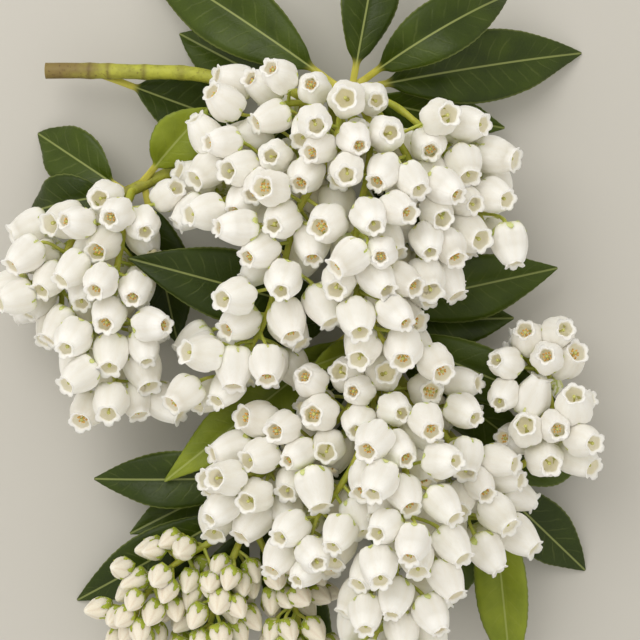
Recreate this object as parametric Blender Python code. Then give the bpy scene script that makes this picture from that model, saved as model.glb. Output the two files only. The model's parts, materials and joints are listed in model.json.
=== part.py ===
"""A cut flowering branch of a pieris, lying on its leaves, seen from above.

A stem with a flat cut ends in a whorl of leaves. Side shoots with whorls of their own branch off it, and
hanging sprays of urn-shaped flowers spring from the whorls. Metres, +Z up. The branch lies on z = 0, and
the middle of its footprint is the origin.
"""

import math
import random
from dataclasses import dataclass

import bmesh
import bpy
import numpy as np
from mathutils import Matrix, Vector
from mathutils.bvhtree import BVHTree

MM = 1e-3
UP = Vector((0, 0, 1))

# The plan: columns run right and rows run down in steps, heights are millimetres above the ground.
PLAN_STEP = 0.17e-3
PLAN_MIDDLE = 320

CLEARANCE = 0.3e-3  # between any two solids
SEED = 47

# Flowers
SIDES = 5
BELL_LENGTH = 7.4e-3
BELL_RADIUS = 3.2e-3
BELL_RINGS = ((0.0, 0.22), (0.38, 1.0), (1.0, 0.70))  # shares of the length and of the radius
BELL_END = 0.84  # floor of the mouth
BELL_BALLS = ((0.26, 0.80), (0.46, 0.95), (0.68, 0.88), (0.90, 0.72))
BUD_LENGTH = 5.6e-3
BUD_RADIUS = 2.1e-3
BUD_RINGS = ((0.0, 0.25), (0.45, 1.0))
BUD_END = 1.0
BUD_BALLS = ((0.35, 0.85), (0.65, 0.85))
SIZE_SPREAD = 0.07
PEDICEL_RADIUS = 0.42e-3
PEDICEL_LENGTH = (1.8e-3, 4.6e-3)
PEDICEL_BALLS = (1.5e-3, 2.6e-3, 3.7e-3)  # from the rachis
BELLS_PER_METRE = 950
BUDS_PER_METRE = 600
FAN = math.radians(140)  # to either side of straight up
GOLDEN_SHARE = 0.618034
LAST_FLOWER = 0.96  # share of the rachis
TRIES = 28
TURN_SPREAD = (0.3, 0.07)  # radians, and how much more with each try
WAY_SPREAD = (0.25, 0.03)
PEDICEL_STRETCH = 0.03  # with each try
WAY_SHARES = (0.6, 0.25, 0.35)  # away from the rachis, along it and up
FOOT_ALONG = 0.25
CLEAR_WITHIN = 0.1e-3  # between flowers of one spray

# The rachis, the stalk of a whole spray
RACHIS_RADII = (0.75e-3, 0.5e-3)
RACHIS_STEP = 6.5e-3
BALL_STEP = 0.7e-3

# Leaves
LEAF_STATIONS = (0.0, 0.10, 0.22, 0.38, 0.56, 0.74, 0.89, 1.0)
PETIOLE_SHARE = 0.10
PETIOLE_HALF = 0.75e-3
LEAF_THICKNESS = 0.55e-3
EDGE_THICKNESS = 0.32e-3
TIP_HALF = 0.2e-3
FOLD = 0.18  # rise of the blade's edges, as a share of its half width
LEAF_SWELL = 0.14e-3
GROUND_SLACK = 1e-6
SEAT_REACH = 0.8e-3  # from a leaf's foot to its stem, at most
LIFTS = (0, 1, -1, 2, -2, 3, -3, 4, -4, 5, 6, 7, 8)  # millimetres
SLIDES = (0, -1, 1, -2, 2, -3, -4, -5)  # millimetres along the stem

STEM_STEP = 6e-3


@dataclass(frozen=True)
class StemPlan:
    """A stem: its parent, its foot as a share of the parent's length, its radii in mm and its route."""

    parent: str | None
    share: float
    radii: tuple
    points: tuple


@dataclass(frozen=True)
class SprayPlan:
    """A spray: its stem and seat, its route, the way its mouths nod and the bare share of its rachis.

    Headroom is how many millimetres its flowers may rise on the plan above its seat.
    """

    stem: str
    share: float
    points: tuple
    nod: tuple
    bare: float
    headroom: float = 200
    buds: bool = False


@dataclass(frozen=True)
class LeafPlan:
    """A leaf: its stem and seat, its tip on the plan, and its width, bow and roll in mm and degrees.

    A leaf whose height is None rests its lowest corner on the ground.
    """

    stem: str
    share: float
    tip: tuple
    height: float | None
    width: float
    bow: float
    roll: float = 0


STEMS = {
    "main_stem": StemPlan(
        None, 0, (1.7, 1.2),
        (
            (34, 60, 9), (70, 60, 9), (130, 62, 10), (190, 65, 11),
            (245, 79, 12), (300, 88, 13), (362, 84, 15),
        ),
    ),
    "left_shoot": StemPlan(
        "main_stem", 0.80, (1.2, 1.0),
        ((258, 122, 10), (215, 143, 9), (150, 172, 9), (112, 191, 10)),
    ),
    "centre_shoot": StemPlan(
        "main_stem", 0.915, (1.25, 1.1),
        ((338, 130, 9), (338, 200, 8), (360, 300, 8), (385, 378, 10)),
    ),
    "lower_right_shoot": StemPlan(
        "centre_shoot", 0.88, (1.1, 1.0),
        ((425, 412, 8), (460, 448, 8), (497, 487, 10)),
    ),
    "lower_left_shoot": StemPlan(
        "centre_shoot", 0.80, (1.1, 1.0),
        ((335, 400, 7), (295, 460, 7), (245, 520, 9)),
    ),
}

SPRAYS = {
    "spray_upper_left": SprayPlan(
        "main_stem", 0.825, ((316, 102, 20), (286, 104, 22), (254, 118, 18)),
        (-0.45, 0.0, 0.6), 0.2, headroom=3,
    ),
    "spray_left": SprayPlan(
        "main_stem", 0.865, ((318, 118, 20), (286, 154, 22), (243, 188, 21), (198, 210, 16)),
        (-0.4, -0.2, 0.7), 0.15, headroom=0,
    ),
    "spray_centre_left": SprayPlan(
        "main_stem", 0.935,
        ((352, 120, 23), (330, 164, 26), (300, 210, 28), (284, 265, 26), (258, 335, 23), (218, 388, 17)),
        (-0.25, -0.35, 0.8), 0.08, headroom=-3,
    ),
    "spray_centre": SprayPlan(
        "main_stem", 0.97,
        ((368, 122, 24), (368, 165, 28), (358, 220, 31), (352, 275, 29), (372, 325, 26), (402, 362, 20)),
        (0.0, -0.6, 0.6), 0.06, headroom=-5,
    ),
    "spray_short": SprayPlan(
        "main_stem", 0.90, ((342, 104, 25), (338, 128, 28), (336, 152, 30)),
        (-0.2, 0.0, 0.8), 0.35, headroom=-1,
    ),
    "spray_right": SprayPlan(
        "main_stem", 1.0, ((400, 106, 18), (436, 140, 20), (466, 182, 20), (486, 222, 17)),
        (0.55, -0.35, 0.5), 0.38, headroom=-5,
    ),
    "spray_centre_right": SprayPlan(
        "main_stem", 0.995, ((388, 128, 24), (412, 170, 26), (425, 215, 26), (415, 270, 22)),
        (0.35, -0.55, 0.6), 0.2, headroom=-5,
    ),
    "spray_lower_left": SprayPlan(
        "centre_shoot", 0.89, ((352, 404, 18), (318, 436, 21), (270, 470, 20), (226, 498, 16)),
        (-0.4, -0.2, 0.8), 0.15,
    ),
    "spray_lower_middle": SprayPlan(
        "centre_shoot", 0.925, ((370, 420, 22), (350, 468, 25), (320, 512, 24), (288, 545, 19)),
        (-0.25, -0.5, 0.7), 0.12,
    ),
    "spray_lowest": SprayPlan(
        "centre_shoot", 0.965,
        ((392, 420, 24), (404, 470, 28), (398, 535, 28), (392, 600, 24), (396, 655, 18)),
        (0.0, -0.6, 0.6), 0.08,
    ),
    "spray_lower_right": SprayPlan(
        "centre_shoot", 1.0, ((412, 402, 16), (446, 436, 20), (468, 480, 20), (466, 540, 15)),
        (0.4, -0.45, 0.5), 0.15,
    ),
    "spray_far_left": SprayPlan(
        "left_shoot", 0.93,
        ((122, 212, 17), (118, 250, 19), (110, 300, 19), (108, 360, 17), (118, 412, 13)),
        (0.1, -0.5, 0.7), 0.1,
    ),
    "spray_left_edge": SprayPlan(
        "left_shoot", 1.0, ((82, 214, 13), (58, 255, 14), (52, 305, 11)), (-0.4, -0.4, 0.6), 0.2,
    ),
    "spray_far_right": SprayPlan(
        "lower_right_shoot", 0.95, ((530, 466, 15), (556, 430, 16), (550, 385, 16), (526, 352, 13)),
        (0.0, -0.3, 0.7), 0.25,
    ),
    "bud_spray_left": SprayPlan(
        "lower_left_shoot", 0.92, ((214, 545, 12), (160, 580, 13), (118, 636, 9)),
        (-0.2, -0.4, 0.5), 0.2, buds=True,
    ),
    "bud_spray_middle": SprayPlan(
        "lower_left_shoot", 0.96, ((234, 556, 14), (214, 605, 14), (200, 662, 10)),
        (0.0, -0.5, 0.5), 0.15, buds=True,
    ),
    "bud_spray_right": SprayPlan(
        "lower_left_shoot", 1.0, ((262, 556, 12), (290, 605, 13), (304, 662, 9)),
        (0.2, -0.5, 0.5), 0.2, buds=True,
    ),
}

LEAVES = {
    "leaf_top_left": LeafPlan("main_stem", 0.95, (128, -70), None, 13.0, 6, -8),
    "leaf_top": LeafPlan("main_stem", 0.97, (388, -110), 14, 10.5, 3, 12),
    "leaf_top_right": LeafPlan("main_stem", 0.995, (600, 34), None, 12.5, 5, 8),
    "leaf_upper_right": LeafPlan("main_stem", 0.965, (515, -16), 4, 10.0, 3),
    "leaf_right": LeafPlan("main_stem", 0.995, (515, 117), 9, 9.5, 2, 25),
    "leaf_upper_back": LeafPlan("main_stem", 0.83, (170, 14), 4, 9.5, 2),
    "leaf_under_left": LeafPlan("main_stem", 0.86, (178, 214), 4, 10.5, -2),
    "leaf_under_right": LeafPlan("main_stem", 0.975, (448, 262), 5, 10.5, -2),
    "leaf_centre_left_back": LeafPlan("centre_shoot", 0.14, (286, 262), 4, 12.0, -1),
    "leaf_centre_right_back": LeafPlan("centre_shoot", 0.26, (404, 296), 4, 12.0, -1),
    "leaf_on_stem": LeafPlan("main_stem", 0.14, (250, 118), 4, 12.0, 1, -10),
    "leaf_shoot_up": LeafPlan("left_shoot", 0.90, (205, 103), 15, 9.0, 2, 10),
    "leaf_shoot_left": LeafPlan("left_shoot", 0.96, (18, 120), None, 10.5, 3, -10),
    "leaf_shoot_far_left": LeafPlan("left_shoot", 0.99, (10, 205), None, 10.0, 3),
    "leaf_shoot_down": LeafPlan("left_shoot", 0.95, (64, 340), 4, 10.5, 0),
    "leaf_shoot_under": LeafPlan("left_shoot", 0.86, (170, 345), 4, 10.5, 0),
    "leaf_front": LeafPlan("centre_shoot", 0.80, (128, 258), 21, 12.5, 4),
    "leaf_middle_right": LeafPlan("centre_shoot", 0.76, (566, 266), 11, 11.5, 2, 10),
    "leaf_right_dark": LeafPlan("centre_shoot", 0.80, (524, 318), 6, 10.0, 0),
    "leaf_diagonal": LeafPlan("centre_shoot", 0.84, (566, 478), 9, 9.5, 3, 25),
    "leaf_diagonal_back": LeafPlan("centre_shoot", 0.875, (572, 412), 5, 9.5, 0),
    "leaf_young": LeafPlan("centre_shoot", 0.90, (314, 366), 20, 5.0, 2),
    "leaf_olive": LeafPlan("centre_shoot", 0.90, (160, 486), 11, 10.0, 1, 10),
    "leaf_beside_olive": LeafPlan("centre_shoot", 0.94, (203, 482), 6, 9.5, 0),
    "leaf_centre_under": LeafPlan("centre_shoot", 0.72, (232, 330), 3, 10.5, -2),
    "leaf_lower_under": LeafPlan("centre_shoot", 0.99, (400, 600), 3, 11.0, -2),
    "leaf_lower_mid": LeafPlan("centre_shoot", 0.97, (330, 560), 3, 10.5, -2),
    "leaf_bright": LeafPlan("lower_right_shoot", 0.97, (520, 694), 8, 9.5, 2, 20),
    "leaf_shoot_right": LeafPlan("lower_right_shoot", 0.99, (612, 448), None, 10.0, 3),
    "leaf_shoot_low_right": LeafPlan("lower_right_shoot", 0.96, (604, 588), None, 10.0, 3),
    "leaf_shoot_back": LeafPlan("lower_right_shoot", 0.90, (440, 640), 4, 10.5, -1),
    "leaf_dark_tip": LeafPlan("lower_left_shoot", 0.62, (120, 545), 10, 9.5, 2, 10),
    "leaf_low_left": LeafPlan("lower_left_shoot", 0.85, (60, 620), None, 10.0, -1),
    "leaf_low": LeafPlan("lower_left_shoot", 0.99, (170, 700), None, 10.0, 3),
    "leaf_low_middle": LeafPlan("lower_left_shoot", 0.97, (330, 700), 4, 10.0, 0),
    "leaf_low_back": LeafPlan("lower_left_shoot", 0.72, (84, 486), 3, 10.0, 0),
}

BARK = (0.23, 0.17, 0.07)
GREEN_STEM = (0.36, 0.40, 0.08)
LEAF_GREEN = (0.035, 0.075, 0.016)
LEAF_BRIGHT = (0.13, 0.20, 0.03)
PETAL = (0.86, 0.84, 0.78)
BUD = (0.72, 0.74, 0.52)
BRIGHT_LEAVES = ("leaf_olive", "leaf_bright", "leaf_shoot_up", "leaf_young")


def on_plan(column, row, height):
    """Plan point to metres."""
    return Vector(((column - PLAN_MIDDLE) * PLAN_STEP, (PLAN_MIDDLE - row) * PLAN_STEP, height * MM))


def smooth(points, step):
    """Points about a step apart on a smooth curve through the given ones; each end runs on straight."""
    padded = [2 * points[0] - points[1], *points, 2 * points[-1] - points[-2]]
    path = [points[0]]
    for a, b, c, d in zip(padded, padded[1:], padded[2:], padded[3:]):
        pieces = max(1, round((c - b).length / step))
        for i in range(1, pieces + 1):
            t = i / pieces
            bend = (2 * a - 5 * b + 4 * c - d) * t**2 + (3 * b - a - 3 * c + d) * t**3
            path.append((2 * b + (c - a) * t + bend) / 2)
    return path


def lengths_along(path):
    """Running length at each point of a path."""
    total = [0.0]
    for a, b in zip(path, path[1:]):
        total.append(total[-1] + (b - a).length)
    return total


def at_share(path, share):
    """Point and direction at a share of a path's length."""
    total = lengths_along(path)
    wanted = share * total[-1]
    i = 0
    while wanted > total[i + 1] and i < len(path) - 2:
        i += 1
    t = min((wanted - total[i]) / (total[i + 1] - total[i]), 1.0)
    return path[i].lerp(path[i + 1], t), (path[i + 1] - path[i]).normalized()


def bounds(corners):
    """Lowest and highest coordinates of some points."""
    lows = Vector([min(c[axis] for c in corners) for axis in range(3)])
    highs = Vector([max(c[axis] for c in corners) for axis in range(3)])
    return lows, highs


class Limb:
    """A tapering limb along a path: a stem or a spray's rachis."""

    def __init__(self, path, radii):
        self.path = path
        self.radii = radii
        self.length = lengths_along(path)[-1]

    def radius_at(self, share):
        return self.radii[0] + (self.radii[1] - self.radii[0]) * share

    def seat(self, share, target, radius):
        """Where a stalk of this radius that heads for the target starts, clear of the limb."""
        point, along = at_share(self.path, share)
        way = (target - point).normalized()
        lean = way.dot(along)
        if share >= 1.0 and lean > 0.5:
            return point + way * (CLEARANCE + radius * 0.8)
        slant = max(0.35, way.cross(along).length)
        return point + way * (self.radius_at(share) + CLEARANCE + radius * abs(lean)) / slant

    def balls(self):
        """Centres and radii of balls along the limb."""
        count = max(2, math.ceil(self.length / BALL_STEP))
        shares = [i / count for i in range(count + 1)]
        return [at_share(self.path, s)[0] for s in shares], [self.radius_at(s) for s in shares]


def loft(rings, tip=None):
    """Corners and faces of a closed skin over rings that turn anticlockwise about the way they advance.

    The first end is flat, and the last is flat or drawn to a tip.
    """
    count = len(rings[0])
    corners = [corner for ring in rings for corner in ring]
    faces = [tuple(reversed(range(count)))]
    for start in range(0, len(corners) - count, count):
        for i in range(count):
            j = (i + 1) % count
            faces.append((start + i, start + j, start + j + count, start + i + count))
    last = len(corners) - count
    if tip is None:
        faces.append(tuple(range(last, last + count)))
    else:
        corners.append(tip)
        faces += [(last + i, last + (i + 1) % count, last + count) for i in range(count)]
    return corners, faces


def leaf_half_width(share, width):
    """Half the leaf's width: a stalk, then a blade widest near its middle, with a pointed tip."""
    if share <= PETIOLE_SHARE:
        return PETIOLE_HALF
    blade = (share - PETIOLE_SHARE) / (1 - PETIOLE_SHARE)
    swelling = math.sin(math.pi * blade**0.95) ** 1.05 if blade < 1 else 0
    return TIP_HALF + PETIOLE_HALF * (1 - blade) ** 3 + (width / 2 - TIP_HALF) * swelling


def leaf_section(share, width, swell):
    """Corners of the leaf's section, as offsets across it and out of it."""
    if share <= PETIOLE_SHARE:
        middle, edge, rise = PETIOLE_HALF, PETIOLE_HALF / 2, 0
    else:
        middle, edge, rise = LEAF_THICKNESS / 2, EDGE_THICKNESS / 2, FOLD
    half = leaf_half_width(share, width)
    rise *= half
    half += swell
    middle += swell
    edge += swell
    return (
        (-half, rise + edge), (0, middle), (half, rise + edge),
        (half, rise - edge), (0, -middle), (-half, rise - edge),
    )


def leaf_shape(base, way, tip, plan, bow, swell):
    """Corners and faces of a leaf: a loft of six-cornered sections along an arched midrib."""
    arch = UP * bow * MM
    a, b, c, d = base, base + way * (tip - base).length * 0.3 + arch, base.lerp(tip, 0.68) + arch, tip
    rings = []
    for share in LEAF_STATIONS:
        u = 1 - share
        centre = a * u**3 + b * 3 * u * u * share + c * 3 * u * share**2 + d * share**3
        along = ((b - a) * u * u + (c - b) * 2 * u * share + (d - c) * share**2).normalized()
        side = along.cross(UP).normalized()
        side.rotate(Matrix.Rotation(math.radians(plan.roll), 3, along))
        normal = side.cross(along)
        section = leaf_section(share, plan.width * MM, swell)
        rings.append([centre + side * across + normal * out for across, out in section])
    return loft(rings)


def fitted_leaf(limb, share, plan, height, bow, swell=0.0):
    """The leaf seated on its limb, with its tip at this height."""
    tip = on_plan(*plan.tip, height)
    base = limb.seat(share, tip, PETIOLE_HALF)
    way = (base - at_share(limb.path, share)[0]).normalized()
    return leaf_shape(base, way, tip, plan, bow, swell)


def grounded_height(limb, share, plan, bow):
    """Height of the tip, in mm, that lays the leaf's lowest corner on the ground, by halving."""
    low, high = -10.0, 20.0
    for _ in range(24):
        middle = (low + high) / 2
        corners, _ = fitted_leaf(limb, share, plan, middle, bow)
        if min(c.z for c in corners) < 0:
            low = middle
        else:
            high = middle
    return high


def tree_of(corners, faces):
    """Search tree of a surface."""
    return BVHTree.FromPolygons([tuple(c) for c in corners], faces)


def near(tree, centres, radii):
    """Whether any ball comes within the clearance of a surface."""
    return any(tree.find_nearest(c, r + CLEARANCE)[0] is not None for c, r in zip(centres, radii))


def place_leaf(plan, limb, home, trees, stalks):
    """The leaf's shape and its swollen search tree, at the first seat and height that clear the rest.

    Home is the search tree of its own stem, and its foot stays near that.
    """
    for slide in SLIDES:
        share = min(1.0, plan.share + slide * MM / limb.length)
        for lift in LIFTS:
            bow = plan.bow + lift
            if plan.height is None:
                height = grounded_height(limb, share, plan, bow)
            else:
                height = plan.height + lift
            corners, faces = fitted_leaf(limb, share, plan, height, bow)
            swollen = tree_of(*fitted_leaf(limb, share, plan, height, bow, LEAF_SWELL))
            sunk = min(c.z for c in corners) < -GROUND_SLACK
            foot = corners[: len(corners) // len(LEAF_STATIONS)]
            adrift = all(home.find_nearest(c, SEAT_REACH)[0] is None for c in foot)
            if not (
                sunk
                or adrift
                or any(swollen.overlap(tree) for tree in trees)
                or any(near(swollen, *stalk) for stalk in stalks)
            ):
                return corners, faces, swollen
    raise ValueError("a leaf finds no room")


class Crowd:
    """Every ball that later flowers keep clear of."""

    def __init__(self):
        self.centres = np.zeros((0, 3))
        self.radii = np.zeros(0)
        self.owners = np.zeros(0, dtype=int)

    def add(self, centres, radii, owner):
        self.centres = np.vstack([self.centres, np.array([tuple(c) for c in centres])])
        self.radii = np.append(self.radii, radii)
        self.owners = np.append(self.owners, [owner] * len(radii))

    def has_room(self, centres, radii, owner):
        """Whether these balls keep clear of the crowd, less so of their owner's."""
        mine = np.array([tuple(c) for c in centres])
        apart = np.linalg.norm(self.centres[None] - mine[:, None], axis=2)
        apart -= self.radii[None] + np.array(radii)[:, None]
        gaps = np.where(self.owners == owner, CLEAR_WITHIN, CLEARANCE)
        return bool((apart > gaps[None]).all())


@dataclass(frozen=True)
class FlowerKind:
    """Sizes of a bell or a bud."""

    length: float
    radius: float
    rings: tuple
    end: float
    balls: tuple
    per_metre: float


BELLS = FlowerKind(BELL_LENGTH, BELL_RADIUS, BELL_RINGS, BELL_END, BELL_BALLS, BELLS_PER_METRE)
BUDS = FlowerKind(BUD_LENGTH, BUD_RADIUS, BUD_RINGS, BUD_END, BUD_BALLS, BUDS_PER_METRE)


@dataclass(frozen=True)
class Flower:
    """A flower: where its stalk starts, its foot, the way it faces and its size."""

    start: Vector
    foot: Vector
    way: Vector
    size: float
    kind: FlowerKind

    def balls(self):
        """Centres and radii of balls that fill the flower and its stalk."""
        length, radius = self.kind.length * self.size, self.kind.radius * self.size
        centres = [self.foot + self.way * length * share for share, _ in self.kind.balls]
        radii = [radius * wide for _, wide in self.kind.balls]
        bare = (self.foot - self.start).length
        for off in PEDICEL_BALLS:
            if off < bare:
                centres.append(self.start.lerp(self.foot, off / bare))
                radii.append(PEDICEL_RADIUS)
        return centres, radii

    def shape(self):
        """Corners and faces: a five-sided bell or bud on its bent stalk, its end sunk in or pointed."""
        stalk = (self.foot - self.start).normalized()
        side = stalk.cross(self.way)
        side = side.normalized() if side.length > 1e-3 else stalk.orthogonal().normalized()
        length, radius = self.kind.length * self.size, self.kind.radius * self.size

        def ring(centre, along, wide):
            other = along.cross(side).normalized()
            turns = [2 * math.pi * i / SIDES for i in range(SIDES)]
            return [centre + (side * math.cos(a) + other * math.sin(a)) * wide for a in turns]

        rings = [ring(self.start, stalk, PEDICEL_RADIUS)]
        for share, wide in self.kind.rings:
            rings.append(ring(self.foot + self.way * length * share, self.way, radius * wide))
        return loft(rings, self.foot + self.way * length * self.kind.end)


class Spray:
    """One spray: its rachis, and the flowers that have found room on it."""

    def __init__(self, order, plan, rachis):
        self.order = order
        self.plan = plan
        self.rachis = rachis
        self.kind = BUDS if plan.buds else BELLS
        self.ceiling = rachis.path[0].y + plan.headroom * MM
        self.dice = random.Random(SEED * 1000 + order)
        self.count = round(rachis.length * (1 - plan.bare) * self.kind.per_metre)
        self.flowers = []

    def grow(self, number, crowd, trees):
        """Try one flower in several ways, and keep the first that finds room."""
        bare = self.plan.bare
        share = bare + (LAST_FLOWER - bare) * (number + 1) / self.count
        point, along = at_share(self.rachis.path, share)
        side = along.cross(UP).normalized()
        up = side.cross(along)
        around = FAN * (2 * ((number * GOLDEN_SHARE) % 1) - 1)
        outward, onward, upward = WAY_SHARES
        for attempt in range(TRIES):
            angle = around + self.dice.uniform(-1, 1) * (TURN_SPREAD[0] + TURN_SPREAD[1] * attempt)
            out = side * math.sin(angle) + up * math.cos(angle)
            if number == self.count - 1:
                out = (along + out * 0.2).normalized()
            size = 1 + self.dice.uniform(-SIZE_SPREAD, SIZE_SPREAD)
            pedicel = self.dice.uniform(*PEDICEL_LENGTH) * (1 + PEDICEL_STRETCH * attempt)
            loose = Vector([self.dice.uniform(-1, 1) for _ in range(3)])
            loose *= WAY_SPREAD[0] + WAY_SPREAD[1] * attempt
            hang = Vector(self.plan.nod) + UP * upward
            way = (out * outward + along * onward + hang + loose).normalized()
            foot = point + (out + along * FOOT_ALONG).normalized() * pedicel
            flower = Flower(point, foot, way, size, self.kind)
            if self.fits(flower, crowd, trees):
                crowd.add(*flower.balls(), self.order)
                self.flowers.append(flower)
                return

    def fits(self, flower, crowd, trees):
        """Whether the flower keeps under the ceiling, off the ground and clear of the rest."""
        centres, radii = flower.balls()
        return (
            max(c.y for c in centres) <= self.ceiling
            and min(c.z - r for c, r in zip(centres, radii)) >= CLEARANCE
            and crowd.has_room(centres, radii, self.order)
            and not any(near(tree, centres, radii) for tree in trees)
        )


def grow_all(sprays, crowd, trees):
    """Every spray gets its flowers in turn, one at a time."""
    for number in range(max(spray.count for spray in sprays)):
        for spray in sprays:
            if number < spray.count:
                spray.grow(number, crowd, trees)


def material(name, colour, roughness):
    """A plain material of one colour."""
    made = bpy.data.materials.new(name)
    made.use_nodes = True
    shader = made.node_tree.nodes["Principled BSDF"]
    shader.inputs["Base Color"].default_value = (*colour, 1)
    shader.inputs["Roughness"].default_value = roughness
    shader.inputs["Metallic"].default_value = 0
    return made


def add_object(name, data, collection, skin=None):
    """An object of this data, with its material."""
    thing = bpy.data.objects.new(name, data)
    collection.objects.link(thing)
    if skin:
        data.materials.clear()
        data.materials.append(skin)
    return thing


def mesh_object(name, corners, faces, collection, skin=None):
    """An object of these corners and faces."""
    mesh = bpy.data.meshes.new(name)
    mesh.from_pydata([tuple(c) for c in corners], [], faces)
    return add_object(name, mesh, collection, skin)


def tube(name, limb, resolution, collection, skin):
    """The limb as a tapering tube with flat ends."""
    curve = bpy.data.curves.new(name, "CURVE")
    curve.dimensions = "3D"
    curve.bevel_depth = 1.0
    curve.bevel_resolution = resolution
    curve.use_fill_caps = True
    curve.resolution_u = 1
    curve.render_resolution_u = 0
    spline = curve.splines.new("POLY")
    spline.points.add(len(limb.path) - 1)
    for point, place, far in zip(spline.points, limb.path, lengths_along(limb.path)):
        point.co = (*place, 1)
        point.radius = limb.radius_at(far / limb.length)
    bent = add_object(name + "_curve", curve, collection)
    bpy.context.view_layer.update()
    mesh = bpy.data.meshes.new_from_object(bent.evaluated_get(bpy.context.evaluated_depsgraph_get()))
    mesh.name = name
    shape = bmesh.new()
    shape.from_mesh(mesh)
    bmesh.ops.remove_doubles(shape, verts=shape.verts, dist=1e-6)
    shape.to_mesh(mesh)
    shape.free()
    thing = add_object(name, mesh, collection, skin)
    thing.matrix_world = bent.matrix_world
    bpy.data.objects.remove(bent)
    bpy.data.curves.remove(curve)
    return thing


def fuse(stalk, spray):
    """One solid: the spray's rachis joined with its flowers and their stalks."""
    pieces = bpy.data.collections.new(stalk.name + "_pieces")
    bpy.context.scene.collection.children.link(pieces)
    for number, flower in enumerate(spray.flowers):
        mesh_object(f"{stalk.name}_flower_{number}", *flower.shape(), pieces)
    union = stalk.modifiers.new("Join", "BOOLEAN")
    union.operation = "UNION"
    union.operand_type = "COLLECTION"
    union.collection = pieces
    union.solver = "MANIFOLD"
    bpy.context.view_layer.update()
    joined = bpy.data.meshes.new_from_object(stalk.evaluated_get(bpy.context.evaluated_depsgraph_get()))
    joined.name = stalk.name
    stalk.modifiers.clear()
    stalk.data = joined
    for piece in list(pieces.objects):
        bpy.data.objects.remove(piece)
    bpy.data.collections.remove(pieces)


def lay_out_stems():
    """The stems as limbs, each seated on its parent."""
    limbs = {}
    for name, plan in STEMS.items():
        radii = [r * MM for r in plan.radii]
        points = [on_plan(*p) for p in plan.points]
        if plan.parent:
            points.insert(0, limbs[plan.parent].seat(plan.share, points[0], radii[0]))
        limbs[name] = Limb(smooth(points, STEM_STEP), radii)
    return limbs


def lay_out_rachises(limbs):
    """The rachises of the sprays as limbs, each seated on its stem."""
    rachises = []
    for plan in SPRAYS.values():
        points = [on_plan(*p) for p in plan.points]
        points.insert(0, limbs[plan.stem].seat(plan.share, points[0], RACHIS_RADII[0]))
        rachises.append(Limb(smooth(points, RACHIS_STEP), RACHIS_RADII))
    return rachises


def rest_on_origin(things, collection):
    """Hold everything by one empty that brings the middle of the footprint to the origin."""
    lows, highs = bounds([thing.matrix_world @ v.co for thing in things for v in thing.data.vertices])
    footprint = add_object("branch_footprint", None, collection)
    footprint.location = (-(lows.x + highs.x) / 2, -(lows.y + highs.y) / 2, -lows.z)
    for thing in things:
        thing.parent = footprint


def main():
    for thing in list(bpy.data.objects):
        bpy.data.objects.remove(thing)
    branch = bpy.data.collections.new("pieris_branch")
    bpy.context.scene.collection.children.link(branch)
    bark = material("bark", BARK, 0.8)
    green = material("green_shoot", GREEN_STEM, 0.6)
    dark_leaf = material("leaf_dark_green", LEAF_GREEN, 0.4)
    bright_leaf = material("leaf_bright_green", LEAF_BRIGHT, 0.45)
    petal = material("petal", PETAL, 0.5)
    bud = material("bud", BUD, 0.55)

    limbs = lay_out_stems()
    things = []
    for name, limb in limbs.items():
        main_stem = STEMS[name].parent is None
        things.append(tube(name, limb, 2 if main_stem else 1, branch, bark if main_stem else green))
    homes = {}
    for stem in things:
        faces = [tuple(face.vertices) for face in stem.data.polygons]
        homes[stem.name] = tree_of([v.co for v in stem.data.vertices], faces)
    trees = list(homes.values())

    rachises = lay_out_rachises(limbs)
    stalks = [rachis.balls() for rachis in rachises]
    for name, plan in LEAVES.items():
        corners, faces, swollen = place_leaf(plan, limbs[plan.stem], homes[plan.stem], trees, stalks)
        trees.append(swollen)
        things.append(
            mesh_object(name, corners, faces, branch, bright_leaf if name in BRIGHT_LEAVES else dark_leaf)
        )

    crowd = Crowd()
    for order, (centres, radii) in enumerate(stalks):
        crowd.add(centres, radii, order)
    sprays = [Spray(i, plan, rachises[i]) for i, plan in enumerate(SPRAYS.values())]
    grow_all(sprays, crowd, trees)
    for name, spray in zip(SPRAYS, sprays):
        stalk = tube(name, spray.rachis, 0, branch, bud if spray.plan.buds else petal)
        fuse(stalk, spray)
        things.append(stalk)
    rest_on_origin(things, branch)


main()
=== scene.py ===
"""The looks of a cut flowering branch of a pieris, which lies on its leaves and is seen from above.

The branch is grown again by the rule of its solids, with the same sizes and the same draws. Each stem, leaf
and spray is then made in full: ribbed leaves, green shoots with their leaf scars, and urn-shaped flowers with
pleats, curled lobes, sepals, styles and anthers. Metres, +Z up.
"""

import json
import logging
import math
import random
from collections.abc import Callable
from dataclasses import dataclass, field
from enum import Enum
from itertools import accumulate

import bpy
import numpy as np
from mathutils import Matrix, Quaternion, Vector
from mathutils.bvhtree import BVHTree

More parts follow.
